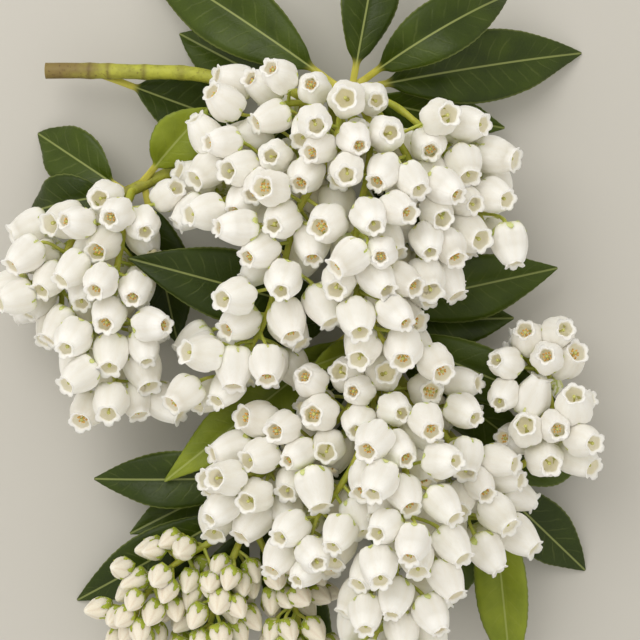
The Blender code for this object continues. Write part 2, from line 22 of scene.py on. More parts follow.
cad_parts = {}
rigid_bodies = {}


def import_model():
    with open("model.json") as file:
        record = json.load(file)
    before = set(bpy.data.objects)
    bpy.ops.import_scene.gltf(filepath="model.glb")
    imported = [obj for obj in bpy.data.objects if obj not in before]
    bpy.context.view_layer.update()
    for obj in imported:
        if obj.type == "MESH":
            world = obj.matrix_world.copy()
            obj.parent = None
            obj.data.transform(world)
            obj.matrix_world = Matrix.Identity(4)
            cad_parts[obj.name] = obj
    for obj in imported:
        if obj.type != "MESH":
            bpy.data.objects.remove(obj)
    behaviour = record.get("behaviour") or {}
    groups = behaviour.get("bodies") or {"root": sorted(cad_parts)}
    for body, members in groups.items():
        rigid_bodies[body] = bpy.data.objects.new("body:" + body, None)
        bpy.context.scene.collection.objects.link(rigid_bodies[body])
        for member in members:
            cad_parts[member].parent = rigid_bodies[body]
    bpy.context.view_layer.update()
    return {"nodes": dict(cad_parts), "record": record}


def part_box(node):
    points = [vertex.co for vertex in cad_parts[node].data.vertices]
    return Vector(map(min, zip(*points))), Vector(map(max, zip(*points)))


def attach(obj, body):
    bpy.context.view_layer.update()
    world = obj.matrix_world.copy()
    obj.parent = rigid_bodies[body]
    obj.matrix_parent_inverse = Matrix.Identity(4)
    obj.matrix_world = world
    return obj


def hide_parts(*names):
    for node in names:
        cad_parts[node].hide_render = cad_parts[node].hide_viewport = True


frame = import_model()
log = logging.getLogger("pieris")

Balls = list[tuple[Vector, float]]  # centres and radii
Surface = tuple[list, list]  # corners and faces

MM = 1e-3
UP = Vector((0, 0, 1))
BODY = "root"

# The plan: columns run right and rows run down in steps, heights are millimetres above the ground.
PLAN_STEP = 0.17e-3
PLAN_MIDDLE = 320

CLEARANCE = 0.3e-3  # between any two solids
SEED = 47

# Draws start from the seed times one of these, plus the order of what they are for.
SPRAY_DRAWS = 1000
BLADE_DRAWS = 7000
SEAT_DRAWS = 9000

# Stems, and the seats of what grows from them
STEM_STEP = 6e-3
END_LEAN = 0.5  # a stalk that leans this far along a limb's end carries it on
END_SINK = 0.8  # how much of such a stalk's radius is kept clear
LEAST_SLANT = 0.35  # of a stalk to its limb, as a sine

# The flowers of the rule
SIZE_SPREAD = 0.07
PEDICEL_RADIUS = 0.42e-3
PEDICEL_LENGTH = (1.8e-3, 4.6e-3)
PEDICEL_BALLS = (1.5e-3, 2.6e-3, 3.7e-3)  # from the rachis
FAN = math.radians(140)  # to either side of straight up
GOLDEN_SHARE = 0.618034
LAST_FLOWER = 0.96  # share of the rachis
LAST_SPLAY = 0.2  # how far the last flower leans off the rachis's own way
TRIES = 28
TURN_SPREAD = (0.3, 0.07)  # radians, and how much more with each try
WAY_SPREAD = (0.25, 0.03)
PEDICEL_STRETCH = 0.03  # with each try
WAY_SHARES = (0.6, 0.25, 0.35)  # away from the rachis, along it and up
FOOT_ALONG = 0.25
CLEAR_WITHIN = 0.1e-3  # between flowers of one spray

# Flowers that only the looks have, in the room that the others leave
EXTRA_TRIES = 84
EXTRA_PRESS = -0.9e-3  # soft petals press on their neighbours
EXTRA_SIZE = 0.95
EXTRA_MARGIN = Vector((1e-3, 1e-3, 1e-3))  # past the box of the spray's solid
SHOWN_LEAF = "leaf_front"  # no such flower hangs above it

# The rachis, the stalk of a whole spray
RACHIS_RADII = (0.75e-3, 0.5e-3)
RACHIS_STEP = 6.5e-3
BALL_STEP = 0.7e-3

# Leaves
LEAF_STATIONS = (0.0, 0.10, 0.22, 0.38, 0.56, 0.74, 0.89, 1.0)
PETIOLE_SHARE = 0.10
PETIOLE_HALF = 0.75e-3
LEAF_THICKNESS = 0.55e-3
EDGE_THICKNESS = 0.32e-3
TIP_HALF = 0.2e-3
FOLD = 0.18  # rise of the blade's edges, as a share of its half width
LEAF_SWELL = 0.14e-3
GROUND_SLACK = 1e-6
SEAT_REACH = 0.8e-3  # from a leaf's foot to its stem, at most
LIFTS = (0, 1, -1, 2, -2, 3, -3, 4, -4, 5, 6, 7, 8)  # millimetres
SLIDES = (0, -1, 1, -2, 2, -3, -4, -5)  # millimetres along the stem
TIP_HEIGHTS = (-10.0, 20.0)  # millimetres, between which a grounded leaf's tip is sought
HALVINGS = 24
BLADE_LEAD = 0.95  # under 1, so a blade is widest a little before its middle
BLADE_SLIM = 1.05  # over 1, so its ends are a little slimmer than a sine's
LEAF_HANDLES = (0.3, 0.68)  # shares of a leaf's length at its midrib's two inner handles


@dataclass(frozen=True)
class StemPlan:
    """A stem: its parent, its foot as a share of the parent's length, its radii in mm and its route."""

    parent: str | None
    share: float
    radii: tuple[float, float]
    points: tuple


@dataclass(frozen=True)
class SprayPlan:
    """A spray: its stem and seat, its route, the way its mouths nod and the bare share of its rachis.

    Headroom is how many millimetres its flowers may rise on the plan above its seat.
    """

    stem: str
    share: float
    points: tuple
    nod: tuple[float, float, float]
    bare: float
    headroom: float = 200
    buds: bool = False


@dataclass(frozen=True)
class LeafPlan:
    """A leaf: its stem and seat, its tip on the plan, and its width, bow and roll in mm and degrees.

    A leaf whose height is None rests its lowest corner on the ground.
    """

    stem: str
    share: float
    tip: tuple[float, float]
    height: float | None
    width: float
    bow: float
    roll: float = 0

    def half_at(self, share: float) -> float:
        """Half the leaf's width: a stalk, then a blade widest near its middle, with a pointed tip.

        Args:
            share: the place, as a share of the leaf.

        Returns:
            Half its width there, in metres.
        """
        if share <= PETIOLE_SHARE:
            return PETIOLE_HALF
        blade = (share - PETIOLE_SHARE) / (1 - PETIOLE_SHARE)
        swelling = math.sin(math.pi * blade**BLADE_LEAD) ** BLADE_SLIM if blade < 1 else 0
        return TIP_HALF + PETIOLE_HALF * (1 - blade) ** 3 + (self.width * MM / 2 - TIP_HALF) * swelling

    def section(self, share: float, swell: float) -> tuple[tuple[float, float], ...]:
        """The plain leaf's section.

        Args:
            share: the place, as a share of the leaf.
            swell: how far every corner moves out.

        Returns:
            Its corners, as offsets across the leaf and out of it.
        """
        if share <= PETIOLE_SHARE:
            middle, edge, rise = PETIOLE_HALF, PETIOLE_HALF / 2, 0
        else:
            middle, edge, rise = LEAF_THICKNESS / 2, EDGE_THICKNESS / 2, FOLD
        half = self.half_at(share)
        rise *= half
        half, middle, edge = half + swell, middle + swell, edge + swell
        return (
            (-half, rise + edge), (0, middle), (half, rise + edge),
            (half, rise - edge), (0, -middle), (-half, rise - edge),
        )


@dataclass(frozen=True)
class FlowerKind:
    """A bell or a bud: its size, the balls that fill it as shares of that, and how many hang on a metre.

    Extra is how many more are tried in the looks, against the rule's own count.
    """

    length: float
    radius: float
    balls: tuple
    per_metre: float
    extra: float


BELL = FlowerKind(7.4e-3, 3.2e-3, ((0.26, 0.80), (0.46, 0.95), (0.68, 0.88), (0.90, 0.72)), 950, 3.0)
BUD = FlowerKind(5.6e-3, 2.1e-3, ((0.35, 0.85), (0.65, 0.85)), 600, 1.2)

STEMS = {
    "main_stem": StemPlan(
        None, 0, (1.7, 1.2),
        (
            (34, 60, 9), (70, 60, 9), (130, 62, 10), (190, 65, 11),
            (245, 79, 12), (300, 88, 13), (362, 84, 15),
        ),
    ),
    "left_shoot": StemPlan(
        "main_stem", 0.80, (1.2, 1.0),
        ((258, 122, 10), (215, 143, 9), (150, 172, 9), (112, 191, 10)),
    ),
    "centre_shoot": StemPlan(
        "main_stem", 0.915, (1.25, 1.1),
        ((338, 130, 9), (338, 200, 8), (360, 300, 8), (385, 378, 10)),
    ),
    "lower_right_shoot": StemPlan(
        "centre_shoot", 0.88, (1.1, 1.0),
        ((425, 412, 8), (460, 448, 8), (497, 487, 10)),
    ),
    "lower_left_shoot": StemPlan(
        "centre_shoot", 0.80, (1.1, 1.0),
        ((335, 400, 7), (295, 460, 7), (245, 520, 9)),
    ),
}

SPRAYS = {
    "spray_upper_left": SprayPlan(
        "main_stem", 0.825, ((316, 102, 20), (286, 104, 22), (254, 118, 18)),
        (-0.45, 0.0, 0.6), 0.2, headroom=3,
    ),
    "spray_left": SprayPlan(
        "main_stem", 0.865, ((318, 118, 20), (286, 154, 22), (243, 188, 21), (198, 210, 16)),
        (-0.4, -0.2, 0.7), 0.15, headroom=0,
    ),
    "spray_centre_left": SprayPlan(
        "main_stem", 0.935,
        ((352, 120, 23), (330, 164, 26), (300, 210, 28), (284, 265, 26), (258, 335, 23), (218, 388, 17)),
        (-0.25, -0.35, 0.8), 0.08, headroom=-3,
    ),
    "spray_centre": SprayPlan(
        "main_stem", 0.97,
        ((368, 122, 24), (368, 165, 28), (358, 220, 31), (352, 275, 29), (372, 325, 26), (402, 362, 20)),
        (0.0, -0.6, 0.6), 0.06, headroom=-5,
    ),
    "spray_short": SprayPlan(
        "main_stem", 0.90, ((342, 104, 25), (338, 128, 28), (336, 152, 30)),
        (-0.2, 0.0, 0.8), 0.35, headroom=-1,
    ),
    "spray_right": SprayPlan(
        "main_stem", 1.0, ((400, 106, 18), (436, 140, 20), (466, 182, 20), (486, 222, 17)),
        (0.55, -0.35, 0.5), 0.38, headroom=-5,
    ),
    "spray_centre_right": SprayPlan(
        "main_stem", 0.995, ((388, 128, 24), (412, 170, 26), (425, 215, 26), (415, 270, 22)),
        (0.35, -0.55, 0.6), 0.2, headroom=-5,
    ),
    "spray_lower_left": SprayPlan(
        "centre_shoot", 0.89, ((352, 404, 18), (318, 436, 21), (270, 470, 20), (226, 498, 16)),
        (-0.4, -0.2, 0.8), 0.15,
    ),
    "spray_lower_middle": SprayPlan(
        "centre_shoot", 0.925, ((370, 420, 22), (350, 468, 25), (320, 512, 24), (288, 545, 19)),
        (-0.25, -0.5, 0.7), 0.12,
    ),
    "spray_lowest": SprayPlan(
        "centre_shoot", 0.965,
        ((392, 420, 24), (404, 470, 28), (398, 535, 28), (392, 600, 24), (396, 655, 18)),
        (0.0, -0.6, 0.6), 0.08,
    ),
    "spray_lower_right": SprayPlan(
        "centre_shoot", 1.0, ((412, 402, 16), (446, 436, 20), (468, 480, 20), (466, 540, 15)),
        (0.4, -0.45, 0.5), 0.15,
    ),
    "spray_far_left": SprayPlan(
        "left_shoot", 0.93,
        ((122, 212, 17), (118, 250, 19), (110, 300, 19), (108, 360, 17), (118, 412, 13)),
        (0.1, -0.5, 0.7), 0.1,
    ),
    "spray_left_edge": SprayPlan(
        "left_shoot", 1.0, ((82, 214, 13), (58, 255, 14), (52, 305, 11)), (-0.4, -0.4, 0.6), 0.2,
    ),
    "spray_far_right": SprayPlan(
        "lower_right_shoot", 0.95, ((530, 466, 15), (556, 430, 16), (550, 385, 16), (526, 352, 13)),
        (0.0, -0.3, 0.7), 0.25,
    ),
    "bud_spray_left": SprayPlan(
        "lower_left_shoot", 0.92, ((214, 545, 12), (160, 580, 13), (118, 636, 9)),
        (-0.2, -0.4, 0.5), 0.2, buds=True,
    ),
    "bud_spray_middle": SprayPlan(
        "lower_left_shoot", 0.96, ((234, 556, 14), (214, 605, 14), (200, 662, 10)),
        (0.0, -0.5, 0.5), 0.15, buds=True,
    ),
    "bud_spray_right": SprayPlan(
        "lower_left_shoot", 1.0, ((262, 556, 12), (290, 605, 13), (304, 662, 9)),
        (0.2, -0.5, 0.5), 0.2, buds=True,
    ),
}

LEAVES = {
    "leaf_top_left": LeafPlan("main_stem", 0.95, (128, -70), None, 13.0, 6, -8),
    "leaf_top": LeafPlan("main_stem", 0.97, (388, -110), 14, 10.5, 3, 12),
    "leaf_top_right": LeafPlan("main_stem", 0.995, (600, 34), None, 12.5, 5, 8),
    "leaf_upper_right": LeafPlan("main_stem", 0.965, (515, -16), 4, 10.0, 3),
    "leaf_right": LeafPlan("main_stem", 0.995, (515, 117), 9, 9.5, 2, 25),
    "leaf_upper_back": LeafPlan("main_stem", 0.83, (170, 14), 4, 9.5, 2),
    "leaf_under_left": LeafPlan("main_stem", 0.86, (178, 214), 4, 10.5, -2),
    "leaf_under_right": LeafPlan("main_stem", 0.975, (448, 262), 5, 10.5, -2),
    "leaf_centre_left_back": LeafPlan("centre_shoot", 0.14, (286, 262), 4, 12.0, -1),
    "leaf_centre_right_back": LeafPlan("centre_shoot", 0.26, (404, 296), 4, 12.0, -1),
    "leaf_on_stem": LeafPlan("main_stem", 0.14, (250, 118), 4, 12.0, 1, -10),
    "leaf_shoot_up": LeafPlan("left_shoot", 0.90, (205, 103), 15, 9.0, 2, 10),
    "leaf_shoot_left": LeafPlan("left_shoot", 0.96, (18, 120), None, 10.5, 3, -10),
    "leaf_shoot_far_left": LeafPlan("left_shoot", 0.99, (10, 205), None, 10.0, 3),
    "leaf_shoot_down": LeafPlan("left_shoot", 0.95, (64, 340), 4, 10.5, 0),
    "leaf_shoot_under": LeafPlan("left_shoot", 0.86, (170, 345), 4, 10.5, 0),
    "leaf_front": LeafPlan("centre_shoot", 0.80, (128, 258), 21, 12.5, 4),
    "leaf_middle_right": LeafPlan("centre_shoot", 0.76, (566, 266), 11, 11.5, 2, 10),
    "leaf_right_dark": LeafPlan("centre_shoot", 0.80, (524, 318), 6, 10.0, 0),
    "leaf_diagonal": LeafPlan("centre_shoot", 0.84, (566, 478), 9, 9.5, 3, 25),
    "leaf_diagonal_back": LeafPlan("centre_shoot", 0.875, (572, 412), 5, 9.5, 0),
    "leaf_young": LeafPlan("centre_shoot", 0.90, (314, 366), 20, 5.0, 2),
    "leaf_olive": LeafPlan("centre_shoot", 0.90, (160, 486), 11, 10.0, 1, 10),
    "leaf_beside_olive": LeafPlan("centre_shoot", 0.94, (203, 482), 6, 9.5, 0),
    "leaf_centre_under": LeafPlan("centre_shoot", 0.72, (232, 330), 3, 10.5, -2),
    "leaf_lower_under": LeafPlan("centre_shoot", 0.99, (400, 600), 3, 11.0, -2),
    "leaf_lower_mid": LeafPlan("centre_shoot", 0.97, (330, 560), 3, 10.5, -2),
    "leaf_bright": LeafPlan("lower_right_shoot", 0.97, (520, 694), 8, 9.5, 2, 20),
    "leaf_shoot_right": LeafPlan("lower_right_shoot", 0.99, (612, 448), None, 10.0, 3),
    "leaf_shoot_low_right": LeafPlan("lower_right_shoot", 0.96, (604, 588), None, 10.0, 3),
    "leaf_shoot_back": LeafPlan("lower_right_shoot", 0.90, (440, 640), 4, 10.5, -1),
    "leaf_dark_tip": LeafPlan("lower_left_shoot", 0.62, (120, 545), 10, 9.5, 2, 10),
    "leaf_low_left": LeafPlan("lower_left_shoot", 0.85, (60, 620), None, 10.0, -1),
    "leaf_low": LeafPlan("lower_left_shoot", 0.99, (170, 700), None, 10.0, 3),
    "leaf_low_middle": LeafPlan("lower_left_shoot", 0.97, (330, 700), 4, 10.0, 0),
    "leaf_low_back": LeafPlan("lower_left_shoot", 0.72, (84, 486), 3, 10.0, 0),
}

BRIGHT_LEAVES = ("leaf_olive", "leaf_bright", "leaf_shoot_up", "leaf_young")

# Petals and sepals, by shares of a flower's length and radius
PETALS = 5
BELL_SIDES = 20
BELL_GIRTH = 1.05  # looks against the room of the rule
BELL_SKIN = (
    (0.0, 0.24), (0.018, 0.52), (0.055, 0.76), (0.12, 0.91), (0.21, 0.985), (0.32, 1.0), (0.44, 0.975),
    (0.57, 0.905), (0.69, 0.80), (0.80, 0.68), (0.88, 0.59),
)
BELL_LINING = ((0.88, 0.44), (0.78, 0.60), (0.60, 0.82), (0.36, 0.93), (0.16, 0.80))
LINING_MOUTH = 0.7  # share of the length past which the lining widens with the mouth
BELL_CREASES = ((0.0, 0.12, 0.35, 0.7, 0.93), (0.22, 0.18, 0.12, 0.09, 0.12))
CREASE_SHARES = (0.6, 0.4)  # of a crease that is a broad hollow, and that is a sharp fold
SHARPNESS = 1.5  # the power of a sharp fold
LIP_RADIUS = 0.53
LIP = (  # share of the length, what the lip's radius gains, share of the lobes, and whether it faces in
    (0.925, 0.010, 0.0, False), (0.942, 0.010, 0.6, False), (0.945, 0.015, 1.0, False),
    (0.944, -0.035, 0.98, True), (0.930, -0.085, 0.6, True), (0.905, -0.130, 0.1, True),
)
LOBE_REACH = 0.05
LOBE_FLARE = 0.085
LOBE_POWER = 0.6  # under 1, so a lobe is rounder than a sine
CURLED = 1.3  # a flare past which the lobes bend back instead of reaching on
CURLED_REACH = 0.6  # how far such lobes still reach, against the others
INNER = 3.0  # how far the lining's own pattern lies from the skin's
BUD_SKIN = (
    (0.0, 0.30), (0.04, 0.58), (0.14, 0.86), (0.28, 0.99), (0.42, 1.0), (0.56, 0.90), (0.70, 0.70),
    (0.84, 0.46), (0.94, 0.26),
)
BUD_TIP = 0.99
BUD_TWIST = 0.5  # radians to either side, at most
BUD_GIRTHS = (0.92, 0.99)  # looks against the room of the rule
BUD_CREASES = (0.06, 0.16)  # depth at the foot, and how much more at the tip
SEPAL_SIDES = 10
STYLE = ((0.16, 0.40e-3), (0.24, 0.20e-3), (0.74, 0.18e-3), (0.80, 0.36e-3), (0.84, 0.26e-3))
STYLE_SIDES = 6
ANTHERS = 8
ANTHER_RINGS = ((0.76, 0.74e-3), (0.80, 0.56e-3))  # share of the bell's length, and metres from its middle
ANTHER_HALVES = (0.27e-3, 0.24e-3, 0.42e-3)  # outwards, sideways and along the bell


def on_plan(column: float, row: float, height: float) -> Vector:
    """Plan point to metres."""
    return Vector(((column - PLAN_MIDDLE) * PLAN_STEP, (PLAN_MIDDLE - row) * PLAN_STEP, height * MM))


def smooth(points: list[Vector], step: float) -> list[Vector]:
    """A smooth curve through some points; each end runs on straight.

    Args:
        points: the points.
        step: about how far apart the curve's own points lie.

    Returns:
        The curve's points.
    """
    padded = [2 * points[0] - points[1], *points, 2 * points[-1] - points[-2]]
    path = [points[0]]
    for a, b, c, d in zip(padded, padded[1:], padded[2:], padded[3:]):
        pieces = max(1, round((c - b).length / step))
        for i in range(1, pieces + 1):
            t = i / pieces
            bend = (2 * a - 5 * b + 4 * c - d) * t**2 + (3 * b - a - 3 * c + d) * t**3
            path.append((2 * b + (c - a) * t + bend) / 2)
    return path


def lengths_along(path: list[Vector]) -> list[float]:
    """Running length at each point of a path."""
    return list(accumulate(((b - a).length for a, b in zip(path, path[1:])), initial=0.0))


def at_share(path: list[Vector], share: float) -> tuple[Vector, Vector]:
    """A place on a path.

    Args:
        path: the path's points.
        share: the place, as a share of the path's length.

    Returns:
        The point, and the path's direction there.
    """
    total = lengths_along(path)
    wanted = share * total[-1]
    i = 0
    while wanted > total[i + 1] and i < len(path) - 2:
        i += 1
    t = min((wanted - total[i]) / (total[i + 1] - total[i]), 1.0)
    return path[i].lerp(path[i + 1], t), (path[i + 1] - path[i]).normalized()


def closed(rings: list[list], flat: bool = False) -> Surface:
    """A closed skin over rings that turn anticlockwise about the way they advance.

    Args:
        rings: the corners of each ring.
        flat: whether each end is one face, where it is otherwise drawn to its middle by small ones.

    Returns:
        The skin.
    """
    count = len(rings[0])
    corners = [corner for ring in rings for corner in ring]
    end = len(corners) - count
    sides = [(i, (i + 1) % count) for i in range(count)]
    starts = range(0, end, count)
    faces = [(s + i, s + j, s + j + count, s + i + count) for s in starts for i, j in sides]
    if flat:
        return corners, [tuple(reversed(range(count))), *faces, tuple(range(end, end + count))]
    first, last = len(corners), len(corners) + 1
    for ring in (rings[0], rings[-1]):
        corners.append(tuple(sum(c[axis] for c in ring) / count for axis in range(3)))
    for i, j in sides:
        faces += [(j, i, first), (end + i, end + j, last)]
    return corners, faces


def tree_of(corners: list[Vector], faces: list[tuple]) -> BVHTree:
    """Search tree of a surface."""
    return BVHTree.FromPolygons([tuple(c) for c in corners], faces)


def near(tree: BVHTree, balls: Balls) -> bool:
    """Whether any ball comes within the clearance of a surface."""
    return any(tree.find_nearest(c, r + CLEARANCE)[0] is not None for c, r in balls)


class Limb:
    """A tapering limb along a path: a stem or a spray's rachis."""

    def __init__(self, route: list[Vector], step: float, radii: tuple[float, float]) -> None:
        """Lay the limb.

        Args:
            route: the points that it passes, kept for finer steps.
            step: the length of the rule's own steps.
            radii: its radius at its two ends.
        """
        self.route = route
        self.path = smooth(route, step)
        self.radii = radii
        self.length = lengths_along(self.path)[-1]

    def radius_at(self, share: float) -> float:
        """Radius at a share of the length."""
        return self.radii[0] + (self.radii[1] - self.radii[0]) * share

    def seat(self, share: float, target: Vector, radius: float) -> Vector:
        """Where a stalk starts, clear of the limb.

        Args:
            share: the seat, as a share of the limb's length.
            target: the point that the stalk heads for.
            radius: the stalk's own radius.

        Returns:
            The stalk's first point.
        """
        point, along = at_share(self.path, share)
        way = (target - point).normalized()
        lean = way.dot(along)
        if share >= 1.0 and lean > END_LEAN:
            return point + way * (CLEARANCE + radius * END_SINK)
        slant = max(LEAST_SLANT, way.cross(along).length)
        return point + way * (self.radius_at(share) + CLEARANCE + radius * abs(lean)) / slant

    def balls(self) -> Balls:
        """Balls along the limb."""
        count = max(2, math.ceil(self.length / BALL_STEP))
        return [(at_share(self.path, i / count)[0], self.radius_at(i / count)) for i in range(count + 1)]


@dataclass(frozen=True)
class Midrib:
    """The arched middle line of a seated leaf by its four handles, its root in the stem, and its plan."""

    handles: tuple[Vector, Vector, Vector, Vector]
    root: Vector
    plan: LeafPlan

    def frame_at(self, share: float) -> tuple[Vector, Vector, Vector]:
        """How the leaf lies at a place.

        Args:
            share: the place, as a share of the leaf.

        Returns:
            The centre, the sideways direction and the upper normal.
        """
        a, b, c, d = self.handles
        u = 1 - share
        centre = a * u**3 + b * 3 * u * u * share + c * 3 * u * share**2 + d * share**3
        along = ((b - a) * u * u + (c - b) * 2 * u * share + (d - c) * share**2).normalized()
        side = along.cross(UP).normalized()
        side.rotate(Matrix.Rotation(math.radians(self.plan.roll), 3, along))
        return centre, side, side.cross(along)

    def solid(self, swell: float = 0.0) -> Surface:
        """The plain leaf of the rule: six-cornered sections along the midrib.

        Args:
            swell: how far it is blown up on every side.

        Returns:
            The leaf's skin.
        """
        rings = []
        for share in LEAF_STATIONS:
            centre, side, normal = self.frame_at(share)
            rings.append([centre + side * x + normal * z for x, z in self.plan.section(share, swell)])
        return closed(rings, flat=True)

    def lowest(self) -> float:
        """Height of the plain leaf's lowest corner."""
        return min(c.z for c in self.solid()[0])


@dataclass(frozen=True)
class LeafSeat:
    """A place for a leaf: its plan, its limb, the share of the limb's length, and its arch in mm."""

    plan: LeafPlan
    limb: Limb
    share: float
    bow: float

    def fitted(self, height: float) -> Midrib:
        """The leaf seated here.

        Args:
            height: the height of its tip, in millimetres.

        Returns:
            The leaf's midrib.
        """
        tip = on_plan(*self.plan.tip, height)
        base = self.limb.seat(self.share, tip, PETIOLE_HALF)
        root = at_share(self.limb.path, self.share)[0]
        arch = UP * self.bow * MM
        near_foot, near_tip = LEAF_HANDLES
        first = base + (base - root).normalized() * (tip - base).length * near_foot + arch
        return Midrib((base, first, base.lerp(tip, near_tip) + arch, tip), root, self.plan)

    def grounded(self) -> float:
        """The tip's height that lays the leaf's lowest corner on the ground, found by halving.

        Returns:
            The height in millimetres.
        """
        low, high = TIP_HEIGHTS
        for _ in range(HALVINGS):
            middle = (low + high) / 2
            if self.fitted(middle).lowest() < 0:
                low = middle
            else:
                high = middle
        return high


def place_leaf(
    plan: LeafPlan, limb: Limb, home: BVHTree, trees: list[BVHTree], stalks: list[Balls]
) -> tuple[Midrib, BVHTree]:
    """Seat a leaf at the first seat and height that clear the rest.

    Args:
        plan: the leaf's plan.
        limb: its own stem.
        home: the search tree of that stem, which its foot stays near.
        trees: the search trees of everything placed before it.
        stalks: the balls of each rachis.

    Returns:
        The leaf's midrib and its swollen search tree.
    """
    for slide in SLIDES:
        share = min(1.0, plan.share + slide * MM / limb.length)
        for lift in LIFTS:
            seat = LeafSeat(plan, limb, share, plan.bow + lift)
            midrib = seat.fitted(seat.grounded() if plan.height is None else plan.height + lift)
            corners, _ = midrib.solid()
            swollen = tree_of(*midrib.solid(LEAF_SWELL))
            foot = corners[: len(corners) // len(LEAF_STATIONS)]
            if not (
                midrib.lowest() < -GROUND_SLACK
                or all(home.find_nearest(c, SEAT_REACH)[0] is None for c in foot)
                or any(swollen.overlap(tree) for tree in trees)
                or any(near(swollen, stalk) for stalk in stalks)
            ):
                return midrib, swollen
    raise ValueError("a leaf finds no room")


class Crowd:
    """Everything that later flowers keep clear of: balls, each with its spray's number, and surfaces."""

    def __init__(self, trees: list[BVHTree]) -> None:
        """Start with the surfaces alone.

        Args:
            trees: their search trees.
        """
        self.trees = trees
        self.rows = np.zeros((0, 4))
        self.owners = np.zeros(0, dtype=int)

    def add(self, balls: Balls, owner: int) -> None:
        """Take in some balls of a spray."""
        self.rows = np.vstack([self.rows, [(*c, r) for c, r in balls]])
        self.owners = np.append(self.owners, [owner] * len(balls))

    def has_room(self, balls: Balls, owner: int, gaps: tuple[float, float]) -> bool:
        """Whether some balls are clear of everything.

        Args:
            balls: the balls.
            owner: the number of their spray.
            gaps: the gap that they keep from that spray's own balls, and from all others.

        Returns:
            True where they are.
        """
        mine = np.array([(*c, r) for c, r in balls])
        reach = mine[:, 3].max() + self.rows[:, 3].max() + max(gaps)
        low, high = mine[:, :3].min(axis=0) - reach, mine[:, :3].max(axis=0) + reach
        close = ((self.rows[:, :3] > low) & (self.rows[:, :3] < high)).all(axis=1)
        apart = np.linalg.norm(self.rows[close, :3][None] - mine[:, None, :3], axis=2)
        apart -= self.rows[close, 3][None] + mine[:, 3][:, None]
        clear = apart > np.where(self.owners[close] == owner, *gaps)[None]
        return bool(clear.all()) and not any(near(tree, balls) for tree in self.trees)


@dataclass(frozen=True)
class Terms:
    """How a flower is tried: how often, its gaps from its spray and others, its size, and its room.

    It stays between the low and high corners, and out of the space above the shown leaf.
    """

    tries: int = TRIES
    gaps: tuple[float, float] = (CLEAR_WITHIN, CLEARANCE)
    size: float = 1
    low: Vector = Vector((-1, -1, -1))
    high: Vector = Vector((1, 1, 1))
    shown: BVHTree | None = None

    def allow(self, balls: Balls) -> bool:
        """Whether some balls stay in the room.

        Args:
            balls: the balls.

        Returns:
            True where they do.
        """
        inside = all(
            low <= at - r and at + r <= high
            for c, r in balls
            for at, low, high in zip(c, self.low, self.high)
        )
        edges = [c + Vector((x, y, 0)) * r for c, r in balls for x, y in ((1, 0), (0, 1), (-1, 0), (0, -1))]
        return inside and not (self.shown and any(self.shown.ray_cast(edge, -UP)[0] for edge in edges))


@dataclass(frozen=True)
class Flower:
    """A flower: where its stalk starts, its foot, the way it faces and its size."""

    start: Vector
    foot: Vector
    way: Vector
    size: float
    kind: FlowerKind

    def balls(self) -> Balls:
        """Balls that fill the flower and its stalk.

        Returns:
            The balls.
        """
        length, radius = self.kind.length * self.size, self.kind.radius * self.size
        balls = [(self.foot + self.way * length * share, radius * wide) for share, wide in self.kind.balls]
        bare = (self.foot - self.start).length
        offs = [off for off in PEDICEL_BALLS if off < bare]
        return balls + [(self.start.lerp(self.foot, off / bare), PEDICEL_RADIUS) for off in offs]


class Spray:
    """One spray: its rachis, and the flowers that have found room on it."""

    def __init__(self, order: int, plan: SprayPlan, rachis: Limb) -> None:
        """Count the flowers to grow.

        Args:
            order: the spray's number.
            plan: its plan.
            rachis: its stalk.
        """
        self.order = order
        self.plan = plan
        self.rachis = rachis
        self.kind = BUD if plan.buds else BELL
        self.ceiling = rachis.path[0].y + plan.headroom * MM
        self.dice = random.Random(SEED * SPRAY_DRAWS + order)
        self.count = round(rachis.length * (1 - plan.bare) * self.kind.per_metre)
        self.flowers: list[Flower] = []
        self.ruled = 0

    def grow(self, number: int, crowd: Crowd, terms: Terms = Terms()) -> None:
        """Try one flower in several ways, and keep the first that finds room.

        Args:
            number: its place in the spray.
            crowd: what it keeps clear of, and joins.
            terms: how it is tried.
        """
        bare = self.plan.bare
        share = bare + (LAST_FLOWER - bare) * (number + 1) / self.count
        point, along = at_share(self.rachis.path, share)
        side = along.cross(UP).normalized()
        up = side.cross(along)
        around = FAN * (2 * ((number * GOLDEN_SHARE) % 1) - 1)
        outward, onward, upward = WAY_SHARES
        hang = Vector(self.plan.nod) + UP * upward
        for attempt in (i % TRIES for i in range(terms.tries)):
            angle = around + self.dice.uniform(-1, 1) * (TURN_SPREAD[0] + TURN_SPREAD[1] * attempt)
            out = side * math.sin(angle) + up * math.cos(angle)
            if number == self.count - 1:
                out = (along + out * LAST_SPLAY).normalized()
            size = (1 + self.dice.uniform(-SIZE_SPREAD, SIZE_SPREAD)) * terms.size
            pedicel = self.dice.uniform(*PEDICEL_LENGTH) * (1 + PEDICEL_STRETCH * attempt)
            loose = Vector([self.dice.uniform(-1, 1) for _ in range(3)])
            loose *= WAY_SPREAD[0] + WAY_SPREAD[1] * attempt
            way = (out * outward + along * onward + hang + loose).normalized()
            foot = point + (out + along * FOOT_ALONG).normalized() * pedicel
            flower = Flower(point, foot, way, size, self.kind)
            balls = flower.balls()
            if (
                terms.allow(balls)
                and max(c.y for c, _ in balls) <= self.ceiling
                and min(c.z - r for c, r in balls) >= CLEARANCE
                and crowd.has_room(balls, self.order, terms.gaps)
            ):
                crowd.add(balls, self.order)
                self.flowers.append(flower)
                return

    def fill_in(self, crowd: Crowd, terms: Terms) -> None:
        """Squeeze more flowers between those that the rule has grown.

        Args:
            crowd: what they keep clear of.
            terms: how they are tried.
        """
        self.ruled = len(self.flowers)
        for number in range(round(self.count * self.kind.extra)):
            self.grow(round((number + 0.5) / self.kind.extra) % self.count, crowd, terms)


